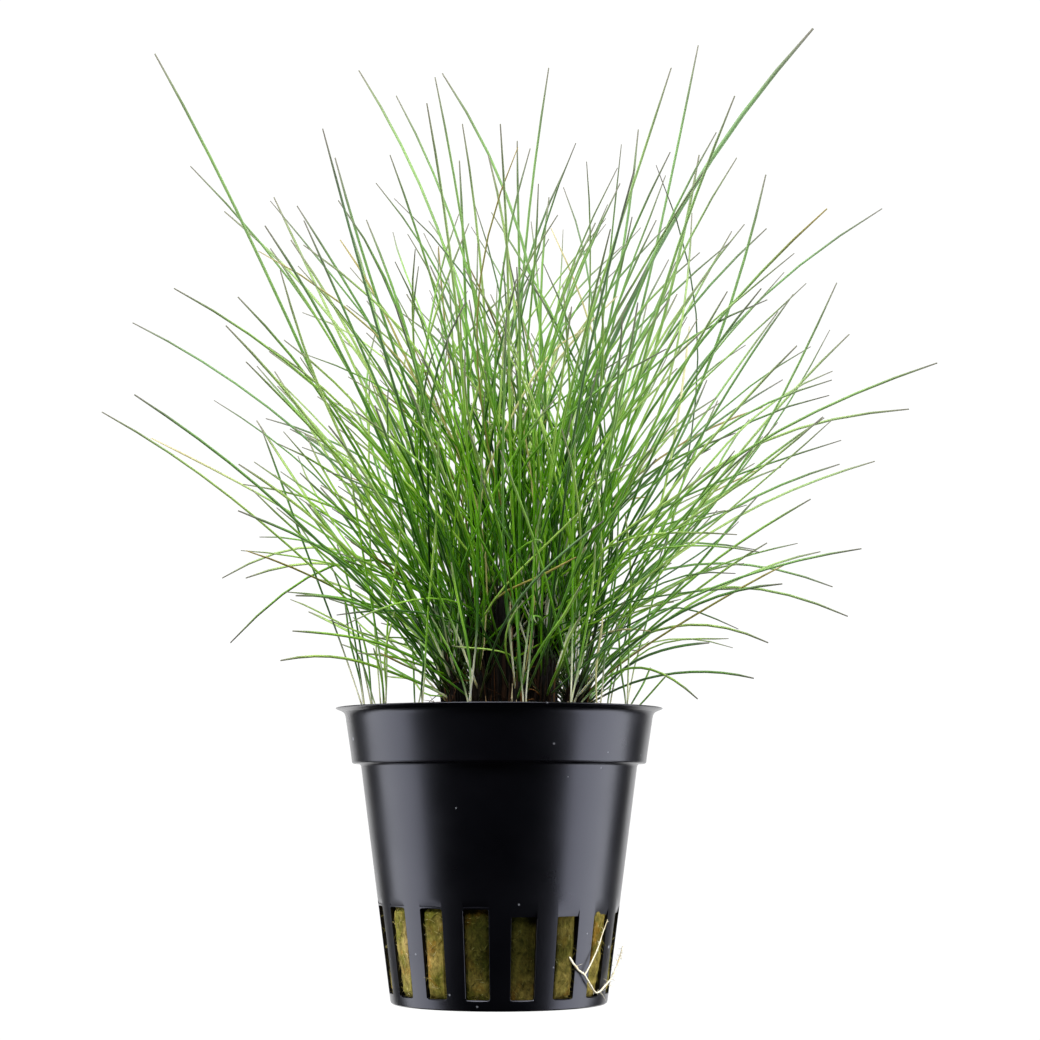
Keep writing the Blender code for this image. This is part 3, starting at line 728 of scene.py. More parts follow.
# Mesh helpers
@dataclass
class Batch:
    """Many small shapes that become one mesh, with values that vary from point to point."""

    points: list = field(default_factory=list)
    faces: list = field(default_factory=list)
    materials: list = field(default_factory=list)
    values: dict = field(default_factory=lambda: {"along": [], "tone": [], "age": [], "foot": []})
    count: int = 0

    def add(self, points: np.ndarray, faces: Sequence, material: int, along: np.ndarray, tone: float,
            age: np.ndarray | float, foot: np.ndarray | float) -> None:
        """Add one shape.

        Args:
            points: Its points, one per row.
            faces: Its faces, as tuples of point numbers.
            material: Number of its material on the finished object.
            along: For each point, its share of the way from foot to tip.
            tone: Its place in the range of colours.
            age: How withered it is, from 0 to 1, for the whole shape or for each point.
            foot: How dark (down to -1) or bleached (up to 1) its foot is, likewise.
        """
        self.points.append(points)
        self.faces.extend(tuple(index + self.count for index in face) for face in faces)
        self.materials.extend([material] * len(faces))
        self.values["along"].append(along)
        self.values["tone"].append(np.full(len(points), tone))
        for key, value in (("age", age), ("foot", foot)):
            self.values[key].append(np.full(len(points), value) if np.isscalar(value) else value)
        self.count += len(points)

    def add_tube(self, line: np.ndarray, radii: np.ndarray, sides: int, material: int, tone: float,
                 age: np.ndarray | float = 0.0, foot: np.ndarray | float = 0.0, flatten: float = 1.0) -> None:
        """Add a closed round or flattened tube along a line.

        Args:
            line: Points of the centre line, one per row.
            radii: Radius at each of them.
            sides: Number of sides.
            material: Number of its material.
            tone: Its place in the range of colours.
            age: How withered it is, for the whole tube or for each point of the line.
            foot: How dark or bleached its foot is, likewise.
            flatten: Thickness as a share of the width.
        """
        steps = len(line)
        tangent = np.gradient(line, axis=0)
        tangent /= np.linalg.norm(tangent, axis=1)[:, None]
        axis = np.zeros(3)
        axis[np.argmin(np.abs(tangent[0]))] = 1.0
        across = np.empty_like(line)
        for step in range(steps):
            axis = axis - tangent[step] * (axis @ tangent[step])
            axis /= np.linalg.norm(axis)
            across[step] = axis
        upright = np.cross(tangent, across)
        turns = np.arange(sides) * math.tau / sides
        ring = (across[:, None, :] * np.cos(turns)[None, :, None]
                + upright[:, None, :] * np.sin(turns)[None, :, None] * flatten) * radii[:, None, None]
        points = np.vstack([(line[:, None, :] + ring).reshape(-1, 3), line[:1], line[-1:]])
        faces = []
        for step in range(steps - 1):
            low = step * sides
            for side in range(sides):
                following = (side + 1) % sides
                faces.append((low + side, low + following, low + sides + following, low + sides + side))
        low_end, high_end, last = steps * sides, steps * sides + 1, (steps - 1) * sides
        faces += [(low_end, (side + 1) % sides, side) for side in range(sides)]
        faces += [(high_end, last + side, last + (side + 1) % sides) for side in range(sides)]
        share = np.linspace(0, 1, steps)
        along = np.concatenate([np.repeat(share, sides), [0.0, 1.0]])
        age, foot = (
            value if np.isscalar(value) else np.concatenate([np.repeat(value, sides), value[[0, -1]]])
            for value in (age, foot))
        self.add(points, faces, material, along, tone, age, foot)

    def finish(self, name: str, materials: Sequence) -> bpy.types.Object:
        """Make the object.

        Args:
            name: Name of the object and its mesh.
            materials: Its materials, in the order of their numbers.

        Returns:
            The new object, at the origin, with its place in its mesh.
        """
        mesh = bpy.data.meshes.new(name)
        mesh.from_pydata(np.vstack(self.points).tolist(), [], self.faces)
        for made in materials:
            mesh.materials.append(made)
        mesh.polygons.foreach_set("material_index", self.materials)
        for key, parts in self.values.items():
            attribute = mesh.attributes.new(key, "FLOAT", "POINT")
            attribute.data.foreach_set("value", np.concatenate(parts).astype(np.float32))
        mesh.shade_smooth()
        mesh.update()
        made = bpy.data.objects.new(name, mesh)
        bpy.context.scene.collection.objects.link(made)
        return made


def deselect_all() -> None:
    """Leave edit mode and deselect every object."""
    if bpy.context.object and bpy.context.object.mode != "OBJECT":
        bpy.ops.object.mode_set(mode="OBJECT")
    bpy.ops.object.select_all(action="DESELECT")


def make_active(piece: bpy.types.Object) -> None:
    """Select one object alone and make it the active one.

    Args:
        piece: The object.
    """
    deselect_all()
    piece.select_set(True)
    bpy.context.view_layer.objects.active = piece


def pick(piece: bpy.types.Object, kind: Part, test: Callable) -> None:
    """Select the points, edges or faces of the object in edit mode that pass a test.

    Args:
        piece: The object in edit mode.
        kind: Which of them.
        test: Takes one of them and tells whether it is selected.
    """
    listing, mode = kind.value
    bpy.ops.mesh.select_mode(type=mode)
    bpy.ops.mesh.select_all(action="DESELECT")
    mesh = bmesh.from_edit_mesh(piece.data)
    for part in getattr(mesh, listing):
        if test(part):
            part.select_set(True)
    mesh.select_flush_mode()
    bmesh.update_edit_mesh(piece.data)


def settle(piece: bpy.types.Object) -> bpy.types.Object:
    """Put the object's place into its mesh, so that the object itself sits at the origin.

    Args:
        piece: The object.

    Returns:
        The same object.
    """
    make_active(piece)
    bpy.ops.object.transform_apply(location=True, rotation=True, scale=True)
    return piece


def copy_of(piece: bpy.types.Object, name: str, matrix: Matrix) -> bpy.types.Object:
    """Copy an object with its own mesh and move the copy's mesh by a matrix.

    Args:
        piece: The object.
        name: The copy's name.
        matrix: The matrix.

    Returns:
        The copy.
    """
    made = piece.copy()
    made.data = piece.data.copy()
    made.name = name
    made.data.transform(matrix)
    bpy.context.scene.collection.objects.link(made)
    return made


def join(pieces: Sequence[bpy.types.Object], name: str) -> bpy.types.Object:
    """Join objects into the first of them.

    Args:
        pieces: The objects.
        name: Name of the result.

    Returns:
        The first of them.
    """
    deselect_all()
    for piece in pieces:
        piece.select_set(True)
    bpy.context.view_layer.objects.active = pieces[0]
    bpy.ops.object.join()
    pieces[0].name = name
    pieces[0].data.name = name
    return pieces[0]


def cut_away(piece: bpy.types.Object, tool: bpy.types.Object) -> None:
    """Cut a tool's shape out of an object, and remove the tool.

    Args:
        piece: The object.
        tool: The tool, a closed shape.
    """
    make_active(piece)
    modifier = piece.modifiers.new("cut", "BOOLEAN")
    modifier.operation = "DIFFERENCE"
    modifier.solver = "EXACT"
    modifier.object = tool
    bpy.ops.object.modifier_apply(modifier=modifier.name)
    bpy.data.objects.remove(tool)


def smooth_by_angle(piece: bpy.types.Object, degrees: float) -> None:
    """Shade smooth, with sharp edges past an angle."""
    make_active(piece)
    bpy.ops.object.shade_smooth_by_angle(angle=math.radians(degrees))


def register(piece: bpy.types.Object, slot: Slot, *nodes: str) -> None:
    """Let a finished piece ride on the body, hide the solids that it stands for, and log its triangles.

    Args:
        piece: The piece.
        slot: Its finish; not used.
        nodes: The solids, if any.
    """
    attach(piece, ROOT_BODY)
    if nodes:
        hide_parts(*nodes)
    faces = sum(len(polygon.vertices) - 2 for polygon in piece.data.polygons)
    LOG.info("%s: %d triangles", piece.name, faces)


# Node helpers
class Sheet:
    """A node tree that is being written, with short ways to add and join its nodes."""

    def __init__(self, tree: bpy.types.NodeTree) -> None:
        """Keep the tree."""
        self.tree = tree

    def add(self, kind: str, **settings: object) -> bpy.types.Node:
        """Add a node.

        Args:
            kind: Its type without the words ShaderNode.
            settings: Its properties, and its inputs as i_ and the input's name, with _ for spaces. A socket
                is linked and anything else becomes the input's value.

        Returns:
            The node.
        """
        made = self.tree.nodes.new("ShaderNode" + kind)
        for key, value in settings.items():
            if key.startswith("i_"):
                name = key[2:]
                socket = made.inputs[int(name)] if name.isdigit() else made.inputs[name.replace("_", " ")]
                self.feed(socket, value)
            else:
                setattr(made, key, value)
        return made

    def feed(self, socket: bpy.types.NodeSocket, value: object) -> None:
        """Link a socket to an input, or set the input's value.

        Args:
            socket: The input.
            value: A socket, or a plain value.
        """
        if isinstance(value, bpy.types.NodeSocket):
            self.tree.links.new(value, socket)
        else:
            socket.default_value = value

    def ramp(self, factor: bpy.types.NodeSocket, *stops: tuple) -> bpy.types.NodeSocket:
        """Colour ramp with stops given as (position, colour).

        Args:
            factor: Place on the ramp.
            stops: The stops.

        Returns:
            The colour.
        """
        node = self.add("ValToRGB", i_Fac=factor)
        ramp = node.color_ramp
        while len(ramp.elements) < len(stops):
            ramp.elements.new(0.5)
        for element, (position, colour) in zip(ramp.elements, stops):
            element.position = position
            element.color = (*colour, 1.0)
        return node.outputs["Color"]

    def range(self, value: bpy.types.NodeSocket, low: float, high: float, to_low: float = 0.0,
              to_high: float = 1.0) -> bpy.types.NodeSocket:
        """Carry one range of values over to another, and hold it at the ends.

        Args:
            value: The value.
            low: Start of its range.
            high: End of its range.
            to_low: Start of the new range.
            to_high: End of the new range.

        Returns:
            The new value.
        """
        node = self.add("MapRange", i_Value=value, i_From_Min=low, i_From_Max=high, i_To_Min=to_low,
                        i_To_Max=to_high)
        return node.outputs["Result"]

    def mix(self, factor: object, first: object, second: object, blend: str = "MIX") -> bpy.types.NodeSocket:
        """Mix two colours.

        Args:
            factor: Share of the second.
            first: A colour.
            second: A colour.
            blend: How they are mixed.

        Returns:
            The colour.
        """
        node = self.add("Mix", data_type="RGBA", blend_type=blend)
        self.feed(node.inputs["Factor"], factor)
        self.feed(node.inputs[6], first)
        self.feed(node.inputs[7], second)
        return node.outputs[2]

    def maths(self, operation: str, *values: object) -> bpy.types.NodeSocket:
        """Do arithmetic on values.

        Args:
            operation: What is done.
            values: The values.

        Returns:
            The result.
        """
        node = self.add("Math", operation=operation)
        for socket, value in zip(node.inputs, values):
            self.feed(socket, value)
        return node.outputs[0]

    def noise(self, scale: object, detail: float = 3.0, roughness: float = 0.5,
              vector: bpy.types.NodeSocket | None = None) -> bpy.types.NodeSocket:
        """Noise on the object's own coordinates, or on a vector.

        Args:
            scale: Its fineness.
            detail: How many finer layers it has.
            roughness: How strong they are.
            vector: The vector, if any.

        Returns:
            The noise.
        """
        place = vector or self.add("TexCoord").outputs["Object"]
        node = self.add("TexNoise", i_Vector=place, i_Scale=scale, i_Detail=detail, i_Roughness=roughness)
        return node.outputs["Fac"]

    def stretched(self, scale: tuple) -> bpy.types.NodeSocket:
        """The object's own coordinates, stretched."""
        place = self.add("TexCoord").outputs["Object"]
        return self.add("Mapping", i_Vector=place, i_Scale=scale).outputs["Vector"]

    def value_of(self, name: str) -> bpy.types.NodeSocket:
        """A value that the mesh holds at each point."""
        return self.add("Attribute", attribute_type="GEOMETRY", attribute_name=name).outputs["Fac"]

    def bump(self, height: bpy.types.NodeSocket, strength: float, distance: float) -> bpy.types.NodeSocket:
        """Normal of a surface raised by a height."""
        return self.add("Bump", i_Height=height, i_Strength=strength, i_Distance=distance).outputs["Normal"]


def new_group(name: str, inputs: dict, outputs: dict) -> tuple:
    """Make a shader node group.

    Args:
        name: Its name.
        inputs: Its inputs by name, each with its default; a number or a colour.
        outputs: Its outputs by name, each "Float" or "Color".

    Returns:
        The group's tree as a sheet, its input node and its output node.
    """
    tree = bpy.data.node_groups.new(name, "ShaderNodeTree")
    for label, default in inputs.items():
        kind = "NodeSocketColor" if isinstance(default, tuple) else "NodeSocketFloat"
        socket = tree.interface.new_socket(label, in_out="INPUT", socket_type=kind)
        socket.default_value = default
    for label, kind in outputs.items():
        tree.interface.new_socket(label, in_out="OUTPUT", socket_type=f"NodeSocket{kind}")
    sheet = Sheet(tree)
    return sheet, tree.nodes.new("NodeGroupInput"), tree.nodes.new("NodeGroupOutput")


class Effects:
    """Effects that several materials share, each a node group that is made once."""

    def __init__(self) -> None:
        """Make the groups."""
        self.dust = self.make_dust()
        self.mottle = self.make_mottle()

    @staticmethod
    def make_dust() -> bpy.types.NodeTree:
        """Sparse small specks: their mask, from a fine cell pattern of which few cells are kept.

        Returns:
            The group.
        """
        sheet, given, out = new_group("dust_specks", {"Scale": 400.0, "Share": 0.05, "Size": 0.2},
                                      {"Mask": "Float"})
        place = sheet.add("TexCoord").outputs["Object"]
        cells = sheet.add("TexVoronoi", i_Vector=place, i_Scale=given.outputs["Scale"], i_Randomness=1.0)
        chance = sheet.add("SeparateColor", i_Color=cells.outputs["Color"]).outputs[0]
        kept = sheet.maths("LESS_THAN", chance, given.outputs["Share"])
        near = sheet.maths("LESS_THAN", cells.outputs["Distance"], given.outputs["Size"])
        sheet.feed(out.inputs["Mask"], sheet.maths("MULTIPLY", kept, near))
        return sheet.tree

    @staticmethod
    def make_mottle() -> bpy.types.NodeTree:
        """Soft patches of two colours, with the mask that parts them.

        Returns:
            The group.
        """
        sheet, given, out = new_group(
            "mottle", {"Scale": 300.0, "Low": 0.42, "High": 0.6, "First": (0.5, 0.5, 0.5, 1.0),
                       "Second": (0.8, 0.8, 0.8, 1.0)}, {"Color": "Color", "Mask": "Float"})
        cloud = sheet.noise(given.outputs["Scale"], 4.0, 0.6)
        mask = sheet.range(cloud, 0.0, 1.0)
        node = mask.node
        sheet.feed(node.inputs["From Min"], given.outputs["Low"])
        sheet.feed(node.inputs["From Max"], given.outputs["High"])
        sheet.feed(out.inputs["Color"], sheet.mix(mask, given.outputs["First"], given.outputs["Second"]))
        sheet.feed(out.inputs["Mask"], mask)
        return sheet.tree

    @staticmethod
    def place(sheet: Sheet, group: bpy.types.NodeTree, **inputs: object) -> bpy.types.Node:
        """Place a group in a material, with its inputs by name.

        Args:
            sheet: The material's sheet.
            group: The group.
            inputs: Values by name.

        Returns:
            The group's node.
        """
        node = sheet.tree.nodes.new("ShaderNodeGroup")
        node.node_tree = group
        for name, value in inputs.items():
            sheet.feed(node.inputs[name], value)
        return node


def new_material(name: str, **sockets: object) -> tuple:
    """Make a Principled material.

    Args:
        name: Its name.
        sockets: The shader's plain values by input name, with _ for spaces.

    Returns:
        The material, its sheet and its shader.
    """
    made = bpy.data.materials.new(name)
    made.use_nodes = True
    shader = made.node_tree.nodes["Principled BSDF"]
    for key, value in sockets.items():
        shader.inputs[key.replace("_", " ")].default_value = value
    return made, Sheet(made.node_tree), shader


@dataclass(frozen=True)
class PlasticFinish:
    """Satin black plastic of the net pot, with faint tool marks, dust and pale specks."""

    black: tuple = (0.0006, 0.0006, 0.0012, 1.0)
    worn: tuple = (0.0012, 0.0012, 0.002, 1.0)
    speck: tuple = (0.32, 0.33, 0.36, 1.0)
    sheen: tuple = (0.81, 0.82, 1.0, 1.0)

    def make(self, effects: Effects) -> bpy.types.Material:
        """Make the material.

        Args:
            effects: The shared effects.

        Returns:
            The material.
        """
        made, sheet, shader = new_material("black_plastic_satin", IOR=1.5, Specular_Tint=self.sheen)
        mottle = effects.place(sheet, effects.mottle, Scale=160.0, Low=0.35, High=0.7,
                               First=self.black, Second=self.worn)
        small = effects.place(sheet, effects.dust, Scale=330.0, Share=0.012, Size=0.1)
        fine = effects.place(sheet, effects.dust, Scale=900.0, Share=0.02, Size=0.16)
        faint = sheet.maths("MULTIPLY", fine.outputs["Mask"], 0.45)
        specks = sheet.maths("MAXIMUM", small.outputs["Mask"], faint)
        sheet.feed(shader.inputs["Base Color"], sheet.mix(specks, mottle.outputs["Color"], self.speck))
        streak = sheet.noise(1.0, 2.0, 0.5, sheet.stretched((900.0, 900.0, 60.0)))
        rough = sheet.range(sheet.noise(90.0, 3.0), 0.3, 0.7, 0.27, 0.33)
        dulled = sheet.maths("ADD", rough, sheet.maths("MULTIPLY", specks, 0.3))
        sheet.feed(shader.inputs["Roughness"], dulled)
        grain = sheet.maths("ADD", sheet.maths("MULTIPLY", streak, 0.5), sheet.noise(2600.0, 2.0))
        sheet.feed(shader.inputs["Normal"], sheet.bump(grain, 0.12, 0.00003))
        return made


@dataclass(frozen=True)
class WoolFinish:
    """Stone wool stained by algae: olive and brown patches and fibres, with painted shade in its pits and
    painted highlights on its crests, painted shade over the front middle slots and a paler, bluer patch at
    the left front.
    """

    # Painted shade in the hollows and painted highlight on the crests of the fibre texture
    pit_shade: tuple = (0.015, 0.014, 0.002, 1.0)
    crest_highlight: tuple = (0.55, 0.5, 0.22, 1.0)
    # Painted shade over the wool in the front middle slots: its centre, its reach and its tint
    front_shade_place: tuple = (3.0 * MM, -20.0 * MM, 10.5 * MM)
    front_shade_reach: tuple = (5.5 * MM, 15.0 * MM)
    front_shade_tint: tuple = (0.12, 0.15, 0.06, 1.0)
    # A paler, bluer patch at the left front: its centre, its reach and its tint
    pale_place: tuple = (-19.0 * MM, -13.0 * MM, 8.0 * MM)
    pale_reach: tuple = (5.0 * MM, 10.5 * MM)
    pale_tint: tuple = (1.9, 1.8, 2.8, 1.0)

    def make(self, effects: Effects) -> bpy.types.Material:
        """Make the material.

        Args:
            effects: The shared effects.

        Returns:
            The material.
        """
        made, sheet, shader = new_material("stone_wool_stained", Roughness=0.95, Specular_IOR_Level=0.1)
        green = effects.place(sheet, effects.mottle, Scale=150.0, Low=0.4, High=0.6,
                              First=(0.13, 0.13, 0.014, 1.0), Second=(0.4, 0.3, 0.075, 1.0))
        brown = effects.place(sheet, effects.mottle, Scale=230.0, Low=0.5, High=0.64,
                              First=(0.16, 0.13, 0.02, 1.0), Second=(0.26, 0.12, 0.01, 1.0))
        base = sheet.mix(sheet.maths("MULTIPLY", brown.outputs["Mask"], 0.7), green.outputs["Color"],
                         brown.outputs["Color"])
        strand = sheet.noise(1.0, 6.0, 0.75, sheet.stretched((1700.0, 1700.0, 1100.0)))
        # Painted shade: darker towards the pit colour in the hollows of the fibre noise that also raises the
        # bump
        soft = sheet.mix(sheet.range(strand, 0.32, 0.6), sheet.mix(0.75, base, self.pit_shade), base)
        # Painted highlight: lighter towards the crest colour on the crests of that noise
        raised = sheet.maths("MULTIPLY", sheet.range(strand, 0.6, 0.72), 0.6)
        light = sheet.mix(raised, soft, self.crest_highlight)
        fibre = sheet.ramp(sheet.value_of("tone"), (0.0, (0.08, 0.075, 0.012)), (0.5, (0.2, 0.17, 0.035)),
                           (0.85, (0.36, 0.31, 0.1)), (1.0, (0.55, 0.51, 0.24)))
        plain = sheet.mix(sheet.value_of("age"), light, fibre)
        place = sheet.add("TexCoord").outputs["Object"]
        from_front_shade, from_pale_place = (
            sheet.add("VectorMath", operation="DISTANCE", i_0=place, i_1=spot).outputs["Value"]
            for spot in (self.front_shade_place, self.pale_place))
        # Painted shade: the wool darkens towards the front middle slots
        front_shade_colour = sheet.mix(1.0, plain, self.front_shade_tint, "MULTIPLY")
        front_shaded = sheet.mix(sheet.range(from_front_shade, *self.front_shade_reach, 0.92, 0.0), plain, front_shade_colour)
        # Paler and bluer towards the left front
        paled = sheet.mix(1.0, front_shaded, self.pale_tint, "MULTIPLY")
        sheet.feed(shader.inputs["Base Color"],
                   sheet.mix(sheet.range(from_pale_place, *self.pale_reach, 0.8, 0.0), front_shaded, paled))
        sheet.feed(shader.inputs["Normal"], sheet.bump(strand, 0.6, 0.0003))
        return made


@dataclass(frozen=True)
class CulmFinish:
    """Living culms: pale feet that let light in, painted shade towards each foot and in the clump's middle,
    painted light towards each top and on paler, greyer stems away from the middle, and dark tips.
    """

    middle: tuple = (-3.0 * MM, 0.0, 76.0 * MM)
    # Painted shade: stems darken within this reach of the clump's middle
    inner_shade_reach: tuple = (10.0 * MM, 34.0 * MM)
    inner_shade_tint: tuple = (0.74, 0.85, 0.5, 1.0)
    # Painted light: stems turn paler and greyer beyond this reach of the middle
    outer_light_reach: tuple = (22.0 * MM, 62.0 * MM)
    outer_light_tint: tuple = (0.25, 0.34, 0.22, 1.0)
    earthy_foot: tuple = (0.018, 0.014, 0.004, 1.0)
    pale_foot: tuple = (1.0, 0.97, 0.78, 1.0)
    tip: tuple = (0.13, 0.105, 0.1, 1.0)

    def make(self, effects: Effects) -> bpy.types.Material:
        """Make the material.

        Args:
            effects: The shared effects.

        Returns:
            The material.
        """
        made, sheet, shader = new_material("hairgrass_culm", IOR=1.45, Specular_IOR_Level=0.16,
                                           Subsurface_Scale=0.7 * MM, Subsurface_Radius=(1.0, 0.9, 0.6))
        along = sheet.value_of("along")
        tone = sheet.value_of("tone")
        age = sheet.value_of("age")
        # Painted shade and light: each culm darker towards its foot and lighter towards its top
        painted_light_tone = sheet.maths("ADD", tone, sheet.range(along, 0.08, 0.75, -0.27, 0.24))
        green = sheet.ramp(painted_light_tone, (0.0, (0.008, 0.04, 0.0005)), (0.3, (0.035, 0.14, 0.001)),
                           (0.6, (0.12, 0.32, 0.005)), (0.82, (0.22, 0.43, 0.03)), (1.0, (0.36, 0.53, 0.12)))
        patch = effects.place(sheet, effects.mottle, Scale=240.0, Low=0.35, High=0.65,
                              First=(0.8, 0.84, 0.75, 1.0), Second=(1.12, 1.1, 1.05, 1.0))
        away = sheet.add("VectorMath", operation="DISTANCE", i_0=sheet.add("TexCoord").outputs["Object"],
                         i_1=self.middle).outputs["Value"]
        shade = sheet.mix(1.0, green, patch.outputs["Color"], "MULTIPLY")
        # Painted shade inside the clump, strongest near its middle
        inner_shaded = sheet.mix(1.0, shade, self.inner_shade_tint, "MULTIPLY")
        stem = sheet.mix(sheet.range(away, *self.inner_shade_reach, 1.0, 0.0), shade, inner_shaded)
        foot = sheet.value_of("foot")
        earthy = sheet.maths("MAXIMUM", sheet.maths("MULTIPLY", foot, -1.0), 0.0)
        brown = sheet.mix(earthy, stem, self.earthy_foot)
        # Painted light: paler, greyer stems away from the clump's middle
        outer_lit = sheet.mix(sheet.range(away, *self.outer_light_reach, 0.0, 0.5), brown, self.outer_light_tint)
        paled = sheet.maths("MAXIMUM", foot, 0.0)
        pale = sheet.mix(paled, outer_lit, self.pale_foot)
        withered = sheet.maths("MULTIPLY", sheet.range(along, 0.84, 0.985), 0.85)
        dark = sheet.mix(withered, pale, self.tip)
        dead = sheet.ramp(tone, (0.0, (0.1, 0.06, 0.015)), (0.5, (0.3, 0.24, 0.06)), (1.0, (0.75, 0.7, 0.45)))
        sheet.feed(shader.inputs["Base Color"], sheet.mix(age, dark, dead))
        sheet.feed(shader.inputs["Roughness"], sheet.range(along, 0.7, 1.0, 0.3, 0.55))
        sheet.feed(shader.inputs["Subsurface Weight"], paled)
        return made


@dataclass(frozen=True)
class SheathFinish:
    """Old leaf sheaths of the crowns: almost black, with brown and straw-coloured strips."""

    def make(self, effects: Effects) -> bpy.types.Material:
        """Make the material.

        Args:
            effects: The shared effects.

        Returns:
            The material.
        """
        made, sheet, shader = new_material("old_sheath", IOR=1.4, Specular_IOR_Level=0.2)
        tone = sheet.value_of("tone")
        strip = sheet.ramp(tone, (0.0, (0.002, 0.0015, 0.001)), (0.5, (0.008, 0.004, 0.002)),
                           (0.75, (0.05, 0.02, 0.006)), (0.9, (0.26, 0.13, 0.04)), (1.0, (0.8, 0.74, 0.52)))
        mottle = effects.place(sheet, effects.mottle, Scale=700.0, Low=0.4, High=0.65,
                               First=(0.5, 0.46, 0.42, 1.0), Second=(1.15, 1.1, 1.0, 1.0))
        sheet.feed(shader.inputs["Base Color"], sheet.mix(1.0, strip, mottle.outputs["Color"], "MULTIPLY"))
        ribs = sheet.noise(1.0, 3.0, 0.6, sheet.stretched((3800.0, 3800.0, 260.0)))
        sheet.feed(shader.inputs["Roughness"], sheet.range(ribs, 0.3, 0.7, 0.6, 0.85))
        sheet.feed(shader.inputs["Normal"], sheet.bump(ribs, 0.7, 0.0003))
        return made


@dataclass(frozen=True)
class RootFinish:
    """Cream roots with browner joints."""

    def make(self, effects: Effects) -> bpy.types.Material:
        """Make the material.

        Args:
            effects: The shared effects.

        Returns:
            The material.
        """
        made, sheet, shader = new_material("cream_root", IOR=1.4)
        mottle = effects.place(sheet, effects.mottle, Scale=900.0, Low=0.45, High=0.7,
                               First=(0.95, 0.9, 0.72, 1.0), Second=(0.85, 0.68, 0.36, 1.0))
        sheet.feed(shader.inputs["Base Color"], mottle.outputs["Color"])
        sheet.feed(shader.inputs["Roughness"], sheet.range(mottle.outputs["Mask"], 0.0, 1.0, 0.45, 0.7))
        sheet.feed(shader.inputs["Normal"], sheet.bump(mottle.outputs["Mask"], 0.4, 0.0001))
        return made


